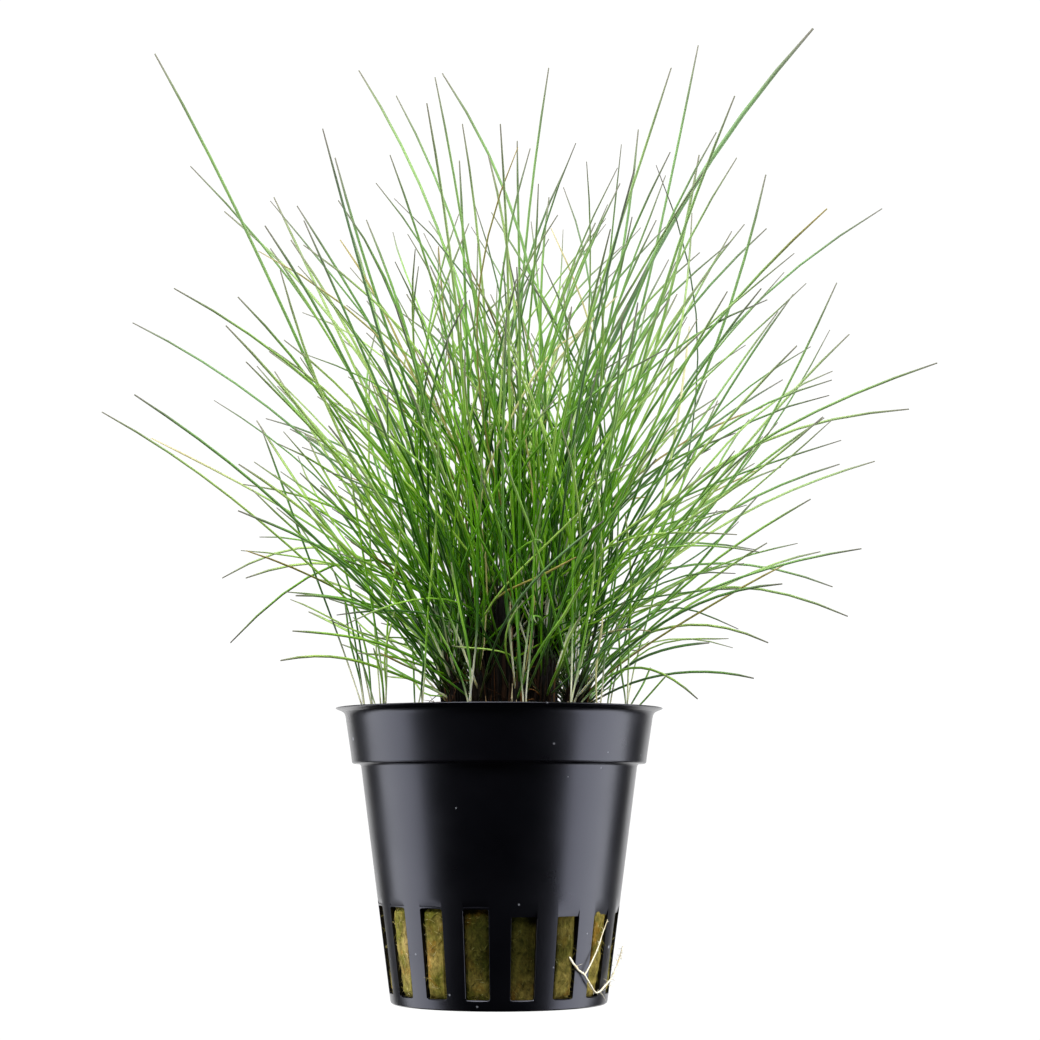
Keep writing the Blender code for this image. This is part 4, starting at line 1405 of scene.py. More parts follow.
# Pot
@dataclass
class NetPot:
    """The moulded net pot: turned wall with a collar and a pointed lip, sixteen slots and a slotted floor."""

    sides: int = 256
    slot_count: int = 16
    slot_width: float = 4.2 * MM
    slot_foot_width: float = 3.9 * MM
    slot_foot: float = 1.8 * MM
    slot_top: float = 16.2 * MM
    first_angle: float = math.radians(12.25)
    edge: float = 0.16 * MM
    corner: float = 0.35 * MM
    short_slots: int = 8
    web: float = 1.2 * MM
    web_rise: float = 0.6 * MM
    web_depth: float = 0.35 * MM
    groove: float = 0.3 * MM
    groove_rise: float = 1.3 * MM
    groove_depth: float = 0.22 * MM
    drain_count: int = 8
    drain_width: float = 2.4 * MM
    drain_inner: float = 5.0 * MM
    drain_outer: float = 13.0 * MM
    drain_corner: float = 1.0 * MM
    tool_depth: float = 4.0 * MM
    facing: float = 0.9
    smooth_angle: float = 19

    def profile(self) -> list:
        """Half section as (radius, height) in millimetres, from under the floor round to its upper side.

        Returns:
            The points.
        """
        def wall(height: float) -> float:
            """Outside radius of the body at a height in millimetres."""
            return POT.wall_radius(height * MM) / MM

        return [
            (3.0, 0.0), (10.0, 0.0), (17.3, 0.0), (17.72, 0.06), (17.98, 0.25), (wall(0.6), 0.6),
            (wall(8), 8), (wall(17.9), 17.9), (wall(18.2), 18.2), (wall(22), 22), (wall(32), 32),
            (wall(39.25), 39.25), (23.32, 39.46), (23.55, 39.6), (24.42, 39.62), (24.62, 39.7),
            (24.72, 39.88), (24.74, 40.05), (24.95, 41.6), (25.35, 44.2), (25.74, 46.7), (25.8, 47.2),
            (25.88, 47.6), (26.02, 47.95), (26.25, 48.22), (26.6, 48.42), (27.1, 48.62), (27.4, 48.74),
            (27.49, 48.81), (27.5, 48.88), (27.45, 48.95), (27.3, 48.99), (26.9, 49.0), (26.0, 49.0),
            (25.6, 48.96), (25.3, 48.8), (25.12, 48.5), (24.98, 48.0), (24.75, 46.7), (23.8, 40.9),
            (23.7, 40.68), (23.5, 40.6), (22.5, 40.56), (22.36, 40.4), (wall(39) - 0.9, 39),
            (wall(20) - 0.9, 20), (wall(1.5) - 0.9, 1.5), (wall(1) - 1.2, 1.1), (wall(1) - 1.6, 1.0),
            (10.0, 1.0), (3.0, 1.0),
        ]

    def turn_body(self) -> bpy.types.Object:
        """Draw the wall up ring by ring from a disc, as one closed shape.

        Returns:
            The pot without its slots.
        """
        rings = self.profile()
        deselect_all()
        bpy.ops.mesh.primitive_circle_add(vertices=self.sides, radius=rings[0][0] * MM, fill_type="NGON",
                                          location=(0, 0, rings[0][1] * MM))
        body = bpy.context.object
        body.name = "net_pot"
        bpy.ops.object.mode_set(mode="EDIT")
        bpy.ops.mesh.select_all(action="SELECT")
        for (radius, height), (next_radius, next_height) in zip(rings, rings[1:]):
            rise = (0, 0, (next_height - height) * MM)
            bpy.ops.mesh.extrude_region_move(TRANSFORM_OT_translate={"value": rise})
            grow = next_radius / radius
            bpy.ops.transform.resize(value=(grow, grow, 1), center_override=(0, 0, next_height * MM))
        bpy.ops.mesh.select_all(action="SELECT")
        bpy.ops.mesh.normals_make_consistent(inside=False)
        bpy.ops.object.mode_set(mode="OBJECT")
        return settle(body)

    def slot_tool(self, top: float) -> bpy.types.Object:
        """Cutter of one slot at the front, with rounded corners and a small chamfer at the wall's outside.

        Args:
            top: Height of the slot's top.

        Returns:
            The cutter.
        """
        middle = (self.slot_foot + top) / 2
        front = -POT.wall_radius(middle)
        tilt = math.atan2(POT.body_top_radius - POT.base_radius, POT.collar_foot_height)
        depth = self.tool_depth
        flare = 5 * self.edge
        deselect_all()
        bpy.ops.mesh.primitive_cube_add(size=1.0, location=(0, front + depth / 2, middle))
        tool = bpy.context.object
        tool.scale = (self.slot_width, depth, top - self.slot_foot)
        settle(tool)
        bpy.ops.object.mode_set(mode="EDIT")
        pick(tool, Part.POINTS, lambda vert: vert.co.z < middle)
        narrowing = self.slot_foot_width / self.slot_width
        bpy.ops.transform.resize(value=(narrowing, 1, 1), center_override=(0, 0, 0))
        pick(tool, Part.EDGES, lambda edge: abs(edge.verts[0].co.y - edge.verts[1].co.y) > depth / 2)
        bpy.ops.mesh.bevel(offset=self.corner, segments=4, affect="EDGES")
        pick(tool, Part.FACES, lambda face: face.normal.y < -self.facing)
        bpy.ops.transform.translate(value=(0, self.edge, 0))
        bpy.ops.mesh.extrude_region_move(TRANSFORM_OT_translate={"value": (0, -flare, 0)})
        wide = (self.slot_width + 2 * flare) / self.slot_width
        tall = (top - self.slot_foot + 2 * flare) / (top - self.slot_foot)
        bpy.ops.transform.resize(value=(wide, 1, tall), center_override=(0, front, middle))
        bpy.ops.mesh.select_all(action="SELECT")
        bpy.ops.mesh.normals_make_consistent(inside=False)
        bpy.ops.object.mode_set(mode="OBJECT")
        shear = Matrix.Identity(4)
        shear[1][2] = -math.tan(tilt)
        centre = Vector((0, front, middle))
        tool.data.transform(Matrix.Translation(centre) @ shear @ Matrix.Translation(-centre))
        return tool

    def scoop_tool(self, foot: float, top: float, depth: float) -> bpy.types.Object:
        """Wedge that thins the wall at a slot's top, between two heights, and most at the lower one.

        Args:
            foot: Lower height.
            top: Upper height.
            depth: Depth at the lower one.

        Returns:
            The cutter.
        """
        front = POT.wall_radius(foot)
        deselect_all()
        bpy.ops.mesh.primitive_cube_add(size=1.0, location=(0, -front, (top + foot) / 2))
        tool = bpy.context.object
        tool.scale = (self.slot_width, 2 * depth, top - foot)
        settle(tool)
        bpy.ops.object.mode_set(mode="EDIT")
        pick(tool, Part.POINTS, lambda vert: vert.co.z > (foot + top) / 2 and vert.co.y > -front)
        bpy.ops.transform.translate(value=(0, front - POT.wall_radius(top) - depth, 0))
        pick(tool, Part.EDGES, lambda edge: abs(edge.verts[0].co.z - edge.verts[1].co.z) > (top - foot) / 2
             and edge.verts[0].co.y > -front)
        bpy.ops.mesh.bevel(offset=0.6 * depth, segments=3, affect="EDGES")
        bpy.ops.mesh.select_all(action="SELECT")
        bpy.ops.mesh.normals_make_consistent(inside=False)
        bpy.ops.object.mode_set(mode="OBJECT")
        return tool

    def drain_tool(self) -> bpy.types.Object:
        """Cutter of one drain slot in the floor, at the front, with rounded ends.

        Returns:
            The cutter.
        """
        deselect_all()
        middle = (self.drain_inner + self.drain_outer) / 2
        bpy.ops.mesh.primitive_cube_add(size=1.0, location=(0, -middle, 0.5 * MM))
        tool = bpy.context.object
        tool.scale = (self.drain_width, self.drain_outer - self.drain_inner, self.tool_depth)
        settle(tool)
        bpy.ops.object.mode_set(mode="EDIT")
        pick(tool, Part.EDGES, lambda edge: abs(edge.verts[0].co.z - edge.verts[1].co.z) > MM)
        bpy.ops.mesh.bevel(offset=self.drain_corner, segments=6, affect="EDGES")
        bpy.ops.object.mode_set(mode="OBJECT")
        return tool

    def ring_of(self, tool: bpy.types.Object, count: int, places: Iterable[int] | None = None) -> list:
        """Copies of a cutter round the pot, at all of its places or some of them; the cutter itself goes.

        Args:
            tool: The cutter.
            count: How many places there are.
            places: Numbers of the places wanted, or none for all.

        Returns:
            The copies.
        """
        made = []
        for index in places or range(count):
            turn = Matrix.Rotation(self.first_angle + index * math.tau / count, 4, "Z")
            made.append(copy_of(tool, f"{tool.name}_{index:02d}", turn))
        bpy.data.objects.remove(tool)
        return made

    def build(self, finish: bpy.types.Material) -> None:
        """Build and dress the pot.

        Args:
            finish: Its material.
        """
        body = self.turn_body()
        top, count = self.slot_top, self.slot_count
        short, full = range(self.short_slots), range(self.short_slots, count)
        slots = (self.ring_of(self.slot_tool(top - self.web), count, short)
                 + self.ring_of(self.slot_tool(top), count, full))
        web = self.scoop_tool(top - self.web - self.groove, top + self.web_rise, self.web_depth)
        webs = self.ring_of(web, count, short)
        groove = self.scoop_tool(top + self.groove, top + self.groove_rise, self.groove_depth)
        grooves = self.ring_of(groove, count, full)
        for tools in (slots, webs, grooves, self.ring_of(self.drain_tool(), self.drain_count)):
            cut_away(body, join(tools, "cutters"))
        body.data.materials.clear()
        body.data.materials.append(finish)
        smooth_by_angle(body, self.smooth_angle)
        register(body, Slot.PLASTIC, "pot")


# Stone wool
@dataclass
class StoneWool:
    """The plug of stone wool and the loose fibres that stick out of it at the slots and the top."""

    pot: NetPot
    sides: int = 384
    layers: int = 120
    foot: float = 1.35 * MM
    rings: tuple = (18, 17.2, 16, 14, 12, 10, 8, 6, 4, 2)
    set_back: float = 0.32 * MM
    lump: float = 0.2 * MM
    bulge: float = 1.1 * MM
    bulge_share: float = 0.8
    collar_step: float = 1.2 * MM
    swell: tuple = (0.1, 0.85, 1.3, 0.9, 0.6, 0.8, 0.4, 0.9, 0.7, 1.0, 0.5, 0.8, 0.9, 1.0, 0.9, 0.4)
    side_fibres: int = 4200
    side_heights: tuple = (1.9 * MM, 16.1 * MM)
    side_reach: float = 2.3 * MM
    top_fibres: int = 1500
    top_reach: float = 22.5 * MM
    rooting: float = 0.05 * MM
    seed: int = 5

    def side_radius(self, turn: float, height: float) -> float:
        """Radius of the plug's lumpy side at an angle and a height.

        Args:
            turn: The angle.
            height: The height.

        Returns:
            The radius.
        """
        inner = POT.wall_radius(height) - POT.wall - self.set_back
        if height > POT.collar_foot_height + self.collar_step:
            inner = POT.collar_foot_radius - POT.wall - self.set_back
        spot = Vector((math.cos(turn) * inner, math.sin(turn) * inner, height))
        inner += self.bulge * self.in_slot(turn, height) * (self.bulge_share + ripples(spot, (120, 0.6)))
        return inner + self.lump * ripples(spot, (260, 1.0), (900, 0.55), (2600, 0.3))

    def in_slot(self, turn: float, height: float) -> float:
        """How far the plug swells into the nearest slot at a place, from 0 at its edge to its full share.

        Args:
            turn: The angle.
            height: The height.

        Returns:
            The swelling as a share.
        """
        pitch = math.tau / self.pot.slot_count
        slots_on, rest = divmod(turn + math.pi / 2 - self.pot.first_angle + pitch / 2, pitch)
        from_slot = rest - pitch / 2
        side = self.pot.slot_foot_width / 2 - 0.1 * MM - abs(from_slot) * POT.wall_radius(height)
        end = min(height - self.pot.slot_foot, self.pot.slot_top - height) - 0.15 * MM
        inside = min(max(side, 0.0) / (0.4 * MM), max(end, 0.0) / (0.7 * MM), 1.0)
        return inside * (2 - inside) * self.swell[round(slots_on) % self.pot.slot_count]

    def top_height(self, x: float, y: float) -> float:
        """Height of the plug's rough top at a place."""
        swell = ripples(Vector((x, y, 0)), (160, 0.35), (600, 0.25), (1900, 0.12))
        return POT.wool_top + swell * MM - 0.1 * MM

    def shape_plug(self) -> bpy.types.Object:
        """Start from a cylinder, give it its layers, and draw each point to the lumpy side or top.

        Returns:
            The plug.
        """
        height = POT.wool_top - self.foot
        widest = self.rings[0] * MM
        deselect_all()
        bpy.ops.mesh.primitive_cylinder_add(vertices=self.sides, radius=widest, depth=height,
                                            end_fill_type="NOTHING", location=(0, 0, self.foot + height / 2))
        plug = bpy.context.object
        plug.name = "stone_wool"
        settle(plug)
        bpy.ops.object.mode_set(mode="EDIT")
        pick(plug, Part.EDGES, lambda edge: abs(edge.verts[0].co.z - edge.verts[1].co.z) > height / 2)
        bpy.ops.mesh.subdivide(number_cuts=self.layers)
        for top in (True, False):
            level = POT.wool_top if top else self.foot
            pick(plug, Part.EDGES, lambda edge: all(abs(vert.co.z - level) < TOUCH for vert in edge.verts))
            for radius, following in zip(self.rings, self.rings[1:]):
                bpy.ops.mesh.extrude_region_move()
                grow = following / radius
                bpy.ops.transform.resize(value=(grow, grow, 1), center_override=(0, 0, level))
            bpy.ops.mesh.edge_face_add()
        bpy.ops.mesh.select_all(action="SELECT")
        bpy.ops.mesh.normals_make_consistent(inside=False)
        bpy.ops.object.mode_set(mode="OBJECT")
        for vert in plug.data.vertices:
            x, y, z = vert.co
            turn = math.atan2(y, x)
            share = math.hypot(x, y) / widest
            wide = self.side_radius(turn, z)
            if z > POT.wool_top - TOUCH:
                spread = wide * share
                vert.co.z = self.top_height(math.cos(turn) * spread, math.sin(turn) * spread)
            vert.co.x = math.cos(turn) * wide * share
            vert.co.y = math.sin(turn) * wide * share
        return plug

    def fibre(self, batch: Batch, root: Vector, outwards: Vector, rng: random.Random, tone: float) -> None:
        """Add one short curved fibre that lies over the surface or sticks out of it.

        Args:
            batch: Takes the fibre.
            root: Its start.
            outwards: Way out of the surface.
            rng: Source of its random numbers.
            tone: Its place in the range of colours.
        """
        along = outwards.cross(scattered(rng, 1)).normalized()
        lift = rng.uniform(-0.1, 0.3) if rng.random() < 0.95 else rng.uniform(0.6, 1.4)
        heading = (along + outwards * lift).normalized()
        bend = outwards.cross(along) * rng.uniform(-0.35, 0.35) - outwards * rng.uniform(0.0, 0.3)
        line = bent_line(root, heading, bend, rng.uniform(0.4, 1.7) * MM, (0, 0.25, 0.5, 0.75, 1.0))
        width = rng.uniform(0.022, 0.045) * MM
        radii = np.array([width, width, width, width * 0.8, width * 0.5])
        batch.add_tube(line, radii, sides=3, material=0, tone=tone, age=1.0)

    def fibres(self, finish: bpy.types.Material) -> bpy.types.Object:
        """Scatter fibres where the slots and the open top show the wool.

        Args:
            finish: Its material.

        Returns:
            The fibres as one object.
        """
        rng = random.Random(self.seed)
        batch = Batch()
        for _ in range(self.side_fibres):
            index = rng.randrange(self.pot.slot_count)
            height = rng.uniform(*self.side_heights)
            half = self.side_reach / POT.wall_radius(height)
            turn = self.pot.first_angle + index * math.tau / self.pot.slot_count + rng.uniform(-half, half)
            outwards = Vector((math.sin(turn), -math.cos(turn), 0))
            reach = self.side_radius(math.atan2(outwards.y, outwards.x), height)
            root = outwards * (reach - self.rooting) + UP * height
            self.fibre(batch, root, outwards, rng, rng.random() ** 1.3)
        for _ in range(self.top_fibres):
            flat = self.top_reach * math.sqrt(rng.random())
            turn = rng.uniform(0, math.tau)
            x, y = math.cos(turn) * flat, math.sin(turn) * flat
            self.fibre(batch, Vector((x, y, self.top_height(x, y))), UP, rng, rng.random() ** 1.8)
        return batch.finish("stone_wool_fibres", [finish])

    def build(self, finish: bpy.types.Material) -> None:
        """Build and dress the plug and its fibres.

        Args:
            finish: Their material.
        """
        plug = self.shape_plug()
        for key in ("tone", "age"):
            plug.data.attributes.new(key, "FLOAT", "POINT")
        plug.data.materials.append(finish)
        smooth_by_angle(plug, 60)
        register(plug, Slot.WOOL, "rock_wool")
        register(self.fibres(finish), Slot.WOOL)


# Roots
@dataclass
class LooseRoots:
    """The cream root that leaves one slot and hangs along the pot's foot, its fork and finer root hairs."""

    main: tuple = ((37.5, 8.6, -0.6), (41.5, 6.6, 0.3), (46.5, 5.4, 0.55), (52.0, 3.6, 0.6), (58.0, 2.5, 0.6),
                   (66.0, 3.4, 0.6), (74.0, 4.6, 0.7), (83.0, 6.9, 1.0), (89.0, 9.4, 1.4))
    fork: tuple = ((46.3, 5.35, 0.5), (50.5, 7.6, 0.6), (55.0, 10.0, 0.5), (59.0, 12.0, 0.2),
                   (62.0, 14.2, 0.3))
    radius: float = 0.18 * MM
    fork_share: float = 0.65
    main_hairs: int = 60
    fork_hairs: int = 10
    hair_shares: tuple = (0, 0.35, 0.7, 1.0)
    hair_radii: tuple = (0.04, 0.035, 0.03, 0.015)
    seed: int = 3

    @staticmethod
    def place(angle: float, height: float, standoff: float) -> Vector:
        """Point beside the pot's wall, from an angle in degrees and sizes in millimetres.

        Args:
            angle: Angle from the front.
            height: Height.
            standoff: Distance from the wall.

        Returns:
            The point.
        """
        turn = math.radians(angle)
        radius = POT.wall_radius(height * MM) + standoff * MM
        return Vector((math.sin(turn) * radius, -math.cos(turn) * radius, height * MM))

    @staticmethod
    def smooth_line(points: Sequence[Vector], per_step: int) -> np.ndarray:
        """Smooth line through points, as many rows as asked for between each two.

        Args:
            points: The points.
            per_step: How many rows.

        Returns:
            The line's points.
        """
        padded = [points[0] * 2 - points[1], *points, points[-1] * 2 - points[-2]]
        line = []
        for first, second, third, fourth in zip(padded, padded[1:], padded[2:], padded[3:]):
            slope = third - first
            bend = first * 2 - second * 5 + third * 4 - fourth
            twist = second * 3 - first - third * 3 + fourth
            for step in range(per_step):
                t = step / per_step
                line.append(0.5 * (second * 2 + slope * t + bend * t * t + twist * t * t * t))
        line.append(points[-1])
        return np.array(line)

    def build(self, finish: bpy.types.Material) -> None:
        """Build and dress the roots.

        Args:
            finish: Their material.
        """
        rng = random.Random(self.seed)
        batch = Batch()
        for places, share, hairs in (
                (self.main, 1.0, self.main_hairs), (self.fork, self.fork_share, self.fork_hairs)):
            line = self.smooth_line([self.place(*spot) for spot in places], 6)
            knots = np.array([noise.noise(Vector(point) * 2400) for point in line])
            taper = 1 - 0.45 * np.linspace(0, 1, len(line)) ** 1.5
            radii = self.radius * share * taper * (1 + 0.35 * knots)
            line = line + np.outer(knots, (0.05, 0.05, 0.12)) * MM
            batch.add_tube(line, radii, sides=8, material=0, tone=0.5)
            for _ in range(hairs):
                root = Vector(line[round(3 + (len(line) - 4) * rng.random() ** 0.55)])
                heading = scattered(rng, 1).normalized()
                length = rng.uniform(0.3, 1.3) * MM
                hair = bent_line(root, heading, scattered(rng, 0.3), length, self.hair_shares)
                batch.add_tube(hair, np.array(self.hair_radii) * MM, sides=3, material=0, tone=0.5)
        register(batch.finish("loose_roots", [finish]), Slot.ROOT, "loose_root")


# Plants
@dataclass
class Plant:
    """One tuft: its crown of old sheaths with the culms that grow out of it."""

    tuft: Tuft
    coarse: list
    fine: list
    stoutness: dict
    seed: int
    culm_steps: int = 12
    culm_sides: int = 5
    radius: float = 0.23 * MM
    taper: tuple = ((0, 0.9), (0.06, 0.76), (0.4, 0.95), (0.6, 1.0), (0.85, 0.97), (0.97, 0.87), (1.0, 0.5))
    rim_widths: tuple = (0.7, 0.85)
    clump_widths: tuple = (0.88, 1.1)
    fine_widths: tuple = (0.62, 0.92)
    coarse_wave: float = 0.55 * MM
    fine_wave: float = 1.7 * MM
    tone: tuple = (0.47, 0.22)
    browning_share: float = 0.03
    dead_share: float = 0.05
    fresh_share: float = 0.09
    stout_limit: float = 1.5
    stout_tone: float = 0.2
    bleached_share: float = 0.22
    sheath_taper: tuple = ((0, 0.7), (0.15, 1.0), (0.6, 0.8), (1.0, 0.12))
    sheath_tones: tuple = ((0.0, 0.45), (0.1, 0.6), (0.1, 0.6), (0.5, 1.0))
    thread_taper: tuple = (1, 1, 0.9, 0.8, 0.6, 0.35)
    inside: float = 22.6 * MM

    def culm(self, batch: Batch, culm: Culm, rng: random.Random, width: float, wave: float) -> None:
        """Add one culm.

        Args:
            batch: Takes the culm.
            culm: Its centre line.
            rng: Source of its own small differences.
            width: Its width as a share of the usual one.
            wave: How far its small bends may leave the centre line.
        """
        steps = self.culm_steps
        share = np.linspace(0, 1, steps + 1)
        line = np.array([culm.point(value) for value in share])
        waves = rng.uniform(0.25, 1.0) * wave
        phase = [rng.uniform(0, math.tau) for _ in range(3)]
        pace = [rng.uniform(2.0, 6.5) for _ in range(3)]
        hold = share * (1 - share) * 4
        for axis in range(3):
            line[:, axis] += waves * hold * np.sin(phase[axis] + pace[axis] * share)
        radii = self.radius * width * np.interp(share, *zip(*self.taper))
        kind = rng.random()
        tone = min(1.0, max(0.0, rng.gauss(*self.tone)))
        age = np.zeros(steps + 1)
        if kind < self.browning_share:
            age = np.clip((share - rng.uniform(0.3, 0.8)) * 4, 0, 0.9)
        elif kind < self.dead_share:
            age = np.full(steps + 1, 0.8)
        elif kind < self.fresh_share:
            tone = rng.uniform(0.8, 0.95)
        stout = self.stoutness.get(culm.tip.copy().freeze(), 1.0)
        if stout > self.stout_limit:
            tone = self.stout_tone
        batch.add_tube(line, radii * stout, self.culm_sides, 0, tone, age, self.foot_shade(share, rng))

    def foot_shade(self, share: np.ndarray, rng: random.Random) -> np.ndarray:
        """Shade of a culm's foot: bleached at the rim, and either bleached or dark in the clump.

        Args:
            share: Places along the culm.
            rng: Source of its random numbers.

        Returns:
            The shade at each of them.
        """
        if self.tuft.is_rim:
            shade, end = 0.6, 0.3
        elif rng.random() < self.bleached_share:
            shade, end = rng.uniform(0.6, 1.0), rng.uniform(0.12, 0.3)
        else:
            shade, end = -rng.uniform(0.7, 1.0), rng.uniform(0.08, 0.2)
        return shade * np.clip(1.4 - 1.4 * share / end, 0.0, 1.0)

    def core(self, batch: Batch, rng: random.Random) -> None:
        """Add the dark lumpy stump that the sheaths wrap.

        Args:
            batch: Takes the stump.
            rng: Source of its random numbers.
        """
        steps, sides = 12, 12
        share = np.linspace(0, 1, steps + 1)
        line = np.array([self.tuft.foot.lerp(self.tuft.head, value * 0.96) for value in share])
        radii = np.array([self.tuft.radius(value) for value in share]) * 0.86
        radii[-1] *= 0.3
        radii[-2] *= 0.7
        radii *= np.array([rng.uniform(0.9, 1.08) for _ in share])
        batch.add_tube(line, radii, sides, 1, rng.uniform(0.0, 0.25))

    def sheath(self, batch: Batch, rng: random.Random) -> None:
        """Add one strip of old sheath, which hugs the stump and frays away from it at its end.

        Args:
            batch: Takes the strip.
            rng: Source of its random numbers.
        """
        turn = rng.uniform(0, math.tau)
        start = rng.uniform(0.0, 0.35)
        end = rng.uniform(0.5, 1.18)
        fray = rng.uniform(0.0, 0.55) * (0.4 if self.tuft.is_rim else 1.0)
        steps = 8
        line = []
        for step in range(steps + 1):
            t = step / steps
            share = start + (end - start) * t
            turn += rng.gauss(0, 0.035)
            reach = self.tuft.radius(min(share, 1.0)) * (0.92 + fray * t ** 3)
            if share > 1.0:
                reach *= 1 - 0.5 * (share - 1.0)
            middle = self.tuft.foot.lerp(self.tuft.head, share)
            line.append(middle + heading_at(turn) * reach)
        width = rng.uniform(0.22, 0.48) * MM * (0.5 if self.tuft.is_rim else 1.0)
        radii = width * np.interp(np.linspace(0, 1, steps + 1), *zip(*self.sheath_taper))
        tone = rng.choice([rng.uniform(*span) for span in self.sheath_tones])
        if self.tuft.is_rim:
            tone = rng.uniform(0.7, 1.0)
        batch.add_tube(np.array(line), radii, sides=5, material=1, tone=tone, flatten=0.45)

    def thread(self, batch: Batch, rng: random.Random) -> None:
        """Add one dry thread that hangs loosely round the crown.

        Args:
            batch: Takes the thread.
            rng: Source of its random numbers.
        """
        turn = rng.uniform(0, math.tau)
        share = rng.uniform(0.05, 0.8)
        outwards = heading_at(turn)
        root = self.tuft.foot.lerp(self.tuft.head, share) + outwards * self.tuft.radius(share) * 0.9
        heading = (outwards * rng.uniform(0.1, 0.9) + UP * rng.uniform(-0.5, 1.0)
                   + outwards.cross(UP) * rng.gauss(0, 0.7)).normalized()
        length = rng.uniform(2.0, 7.0) * MM
        sag = Vector((0, 0, -rng.uniform(0.0, 0.5))) + outwards.cross(UP) * rng.gauss(0, 0.25)
        line = bent_line(root, heading, sag, length, np.linspace(0, 1, len(self.thread_taper)))
        line[:, 2] = np.maximum(line[:, 2], POT.wool_top + 0.3 * MM)
        from_axis = np.hypot(line[:, 0], line[:, 1])
        keep = np.where(line[:, 2] < POT.height + 1.0 * MM, np.minimum(1.0, self.inside / from_axis), 1.0)
        line[:, :2] *= keep[:, None]
        radii = np.array(self.thread_taper) * rng.uniform(0.05, 0.1) * MM
        batch.add_tube(line, radii, sides=4, material=1, tone=rng.uniform(0.55, 1.0))

    def build(self, materials: Sequence) -> None:
        """Build and dress the plant.

        Args:
            materials: The materials of culms and of sheaths.
        """
        rng = random.Random(self.seed)
        batch = Batch()
        self.core(batch, rng)
        sheaths, threads, widths = (34, 9, self.clump_widths)
        if self.tuft.is_rim:
            sheaths, threads, widths = (7, 2, self.rim_widths)
        for _ in range(sheaths):
            self.sheath(batch, rng)
        for _ in range(threads):
            self.thread(batch, rng)
        for culm in self.coarse:
            self.culm(batch, culm, rng, rng.uniform(*widths), self.coarse_wave)
        for culm in self.fine:
            self.culm(batch, culm, rng, rng.uniform(*self.fine_widths), self.fine_wave)
        register(batch.finish(f"{self.tuft.name}_plant", materials), Slot.GRASS, self.tuft.name)


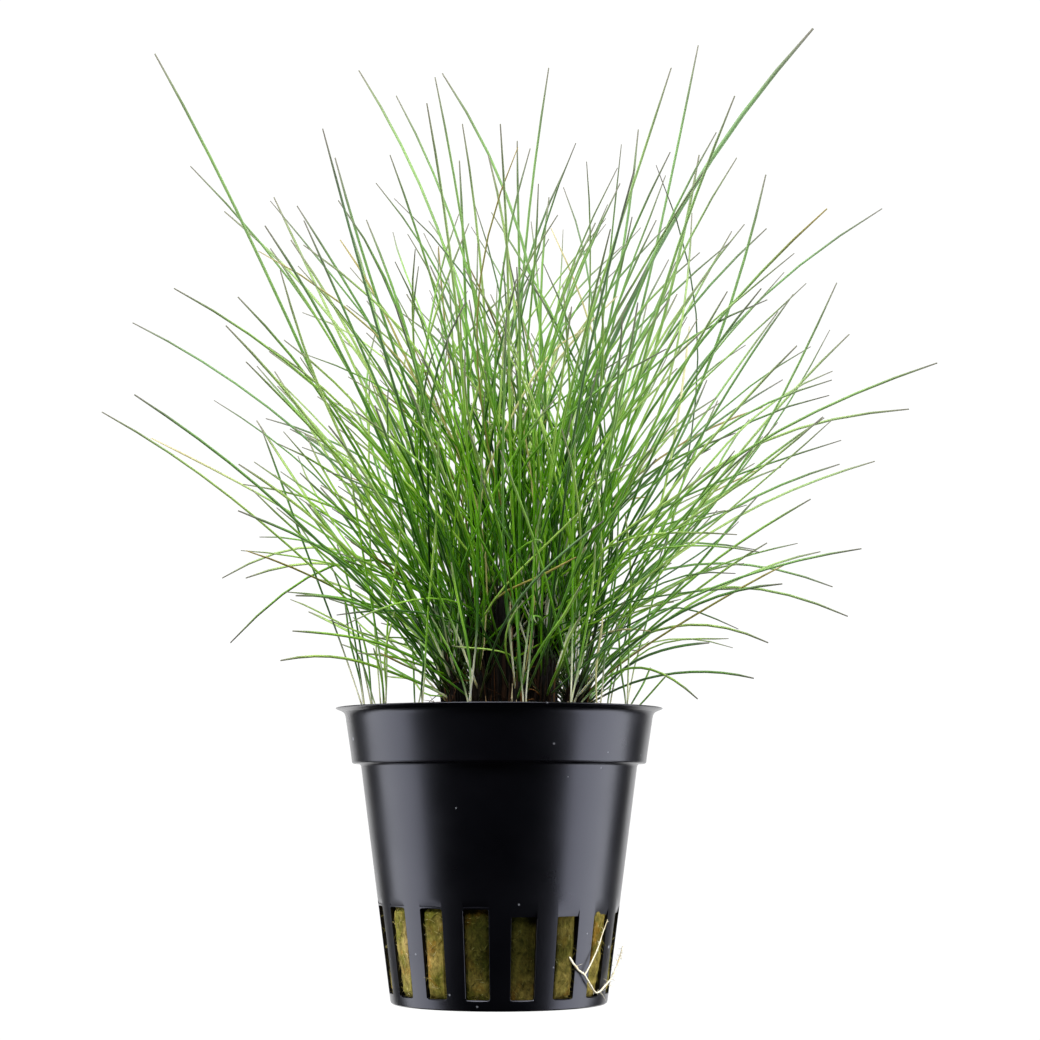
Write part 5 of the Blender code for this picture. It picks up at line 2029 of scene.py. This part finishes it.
# Studio
@dataclass
class Studio:
    """Pale floor and backdrop, tall soft lights at both sides, one above, one in front, and the camera."""

    lens: float = 85.4
    pitch: float = 96.5
    eye: tuple = (3.5 * MM, -417.0 * MM, 33.4 * MM)
    white: float = 1.05
    floor_size: float = 6.0
    floor_gap: float = 0.00005
    screen_place: tuple = (0, 1.3, 0.3)
    screen_size: tuple = (1.8, 2.4, 1)
    screen_glow: float = 1.4
    dim: float = 0.05
    mirrored: float = 0.005

    def paper(self) -> bpy.types.Material:
        """Pale paper that the camera sees evenly bright.

        Returns:
            The material.
        """
        made = bpy.data.materials.new("studio_paper")
        made.use_nodes = True
        tree = made.node_tree
        sheet = Sheet(tree)
        shader = tree.nodes["Principled BSDF"]
        grain = sheet.noise(60.0, 3.0)
        tone = sheet.ramp(grain, (0.3, (0.78, 0.78, 0.78)), (0.7, (0.82, 0.82, 0.82)))
        sheet.feed(shader.inputs["Base Color"], tone)
        shader.inputs["Roughness"].default_value = 0.9
        glow = sheet.add("Emission", i_Color=(1, 1, 1, 1), i_Strength=self.white)
        seen = sheet.add("LightPath").outputs["Is Camera Ray"]
        both = sheet.add("MixShader", i_0=seen, i_1=shader.outputs[0], i_2=glow.outputs[0])
        sheet.feed(tree.nodes["Material Output"].inputs["Surface"], both.outputs[0])
        return made

    def floor(self, paper: bpy.types.Material) -> None:
        """Lay the floor just under the pot.

        Args:
            paper: Its material.
        """
        deselect_all()
        bpy.ops.mesh.primitive_plane_add(size=self.floor_size, location=(0, 0, -self.floor_gap))
        floor = bpy.context.object
        floor.name = "studio_floor"
        floor.data.materials.append(paper)
        floor.visible_glossy = False
        floor.visible_diffuse = False
        floor.visible_shadow = False

    def backdrop(self) -> None:
        """Stand a softly lit white screen behind the plant."""
        deselect_all()
        upright = (math.radians(90), 0, 0)
        bpy.ops.mesh.primitive_plane_add(size=1.0, location=self.screen_place, rotation=upright)
        screen = bpy.context.object
        screen.name = "studio_screen"
        screen.scale = self.screen_size
        settle(screen)
        made = bpy.data.materials.new("screen_glow")
        made.use_nodes = True
        sheet = Sheet(made.node_tree)
        glow = sheet.add("Emission", i_Color=(1, 1, 1, 1), i_Strength=self.screen_glow)
        sheet.feed(made.node_tree.nodes["Material Output"].inputs["Surface"], glow.outputs[0])
        screen.data.materials.append(made)
        screen.visible_camera = False

    @staticmethod
    def soft_light(name: str, azimuth: float, distance: float, height: float, size: tuple, power: float,
                   aim: Vector, colour: tuple = (1, 1, 1)) -> None:
        """Hang a soft light.

        Args:
            name: Its name.
            azimuth: Its place round the pot in degrees, from the front towards +X.
            distance: Its distance from the pot's axis.
            height: Its height.
            size: Its width and height.
            power: Its power in watts.
            aim: The point that it faces.
            colour: Its colour.
        """
        data = bpy.data.lights.new(name, "AREA")
        data.shape = "RECTANGLE"
        data.size, data.size_y = size
        data.energy = power
        data.color = colour
        light = bpy.data.objects.new(name, data)
        bpy.context.scene.collection.objects.link(light)
        turn = math.radians(azimuth)
        light.location = (math.sin(turn) * distance, -math.cos(turn) * distance, height)
        light.rotation_euler = (aim - light.location).to_track_quat("-Z", "Y").to_euler()
        light.visible_camera = False

    def lights(self) -> None:
        """Hang the lights."""
        aim = Vector((0, 0, 0.05))
        self.soft_light("light_left", -92, 0.8, 0.1, (0.72, 1.4), 11.5, aim, (0.95, 0.97, 1.0))
        self.soft_light("light_right", 87, 0.8, 0.1, (0.8, 1.4), 14.5, aim, (0.95, 0.97, 1.0))
        self.soft_light("light_above", -15, 0.3, 0.95, (0.8, 0.8), 16, aim)
        self.soft_light("light_front", -22, 0.75, 0.7, (0.35, 0.35), 6.0, aim)

    def world(self) -> None:
        """Dim even surroundings that the camera sees as white."""
        world = bpy.data.worlds.new("studio_world")
        world.use_nodes = True
        bpy.context.scene.world = world
        sheet = Sheet(world.node_tree)
        dim = world.node_tree.nodes["Background"]
        dim.inputs["Color"].default_value = (1, 1, 1, 1)
        dim.inputs["Strength"].default_value = self.dim
        bright = sheet.add("Background", i_Color=(1, 1, 1, 1), i_Strength=self.white)
        seen = sheet.add("LightPath").outputs["Is Camera Ray"]
        mirrored = sheet.add("LightPath").outputs["Is Glossy Ray"]
        dark = sheet.add("Background", i_Color=(1, 1, 1, 1), i_Strength=self.mirrored)
        around = sheet.add("MixShader", i_0=mirrored, i_1=dim.outputs[0], i_2=dark.outputs[0])
        both = sheet.add("MixShader", i_0=seen, i_1=around.outputs[0], i_2=bright.outputs[0])
        sheet.feed(world.node_tree.nodes["World Output"].inputs["Surface"], both.outputs[0])

    def camera(self) -> None:
        """Set the camera up where the photograph was taken from."""
        data = bpy.data.cameras.new("camera")
        data.lens = self.lens
        data.sensor_width = 36
        data.clip_start, data.clip_end = 0.01, 20
        camera = bpy.data.objects.new("camera", data)
        bpy.context.scene.collection.objects.link(camera)
        camera.location = self.eye
        camera.rotation_euler = (math.radians(self.pitch), 0, 0)
        bpy.context.scene.camera = camera

    def build(self) -> None:
        """Set up the whole studio."""
        bpy.context.scene.view_settings.view_transform = "Standard"
        self.floor(self.paper())
        self.backdrop()
        self.lights()
        self.world()
        self.camera()


def main() -> None:
    """Build every piece in order."""
    logging.basicConfig(level=logging.INFO, format="%(message)s")
    effects = Effects()
    pot = NetPot()
    pot.build(PlasticFinish().make(effects))
    StoneWool(pot).build(WoolFinish().make(effects))
    LooseRoots().build(RootFinish().make(effects))
    planner = Planner()
    planner.plan()
    LOG.info("planned %d culms", sum(len(culms) for culms in planner.grown.values()))
    fine = FineGrowth(planner).plan()
    materials = [CulmFinish().make(effects), SheathFinish().make(effects)]
    for seed, tuft in enumerate(planner.tufts, FIRST_SEED):
        plant = Plant(tuft, planner.grown[tuft.name], fine[tuft.name], planner.stoutness, seed)
        plant.build(materials)
    Studio().build()
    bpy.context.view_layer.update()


if __name__ == "__main__":
    main()
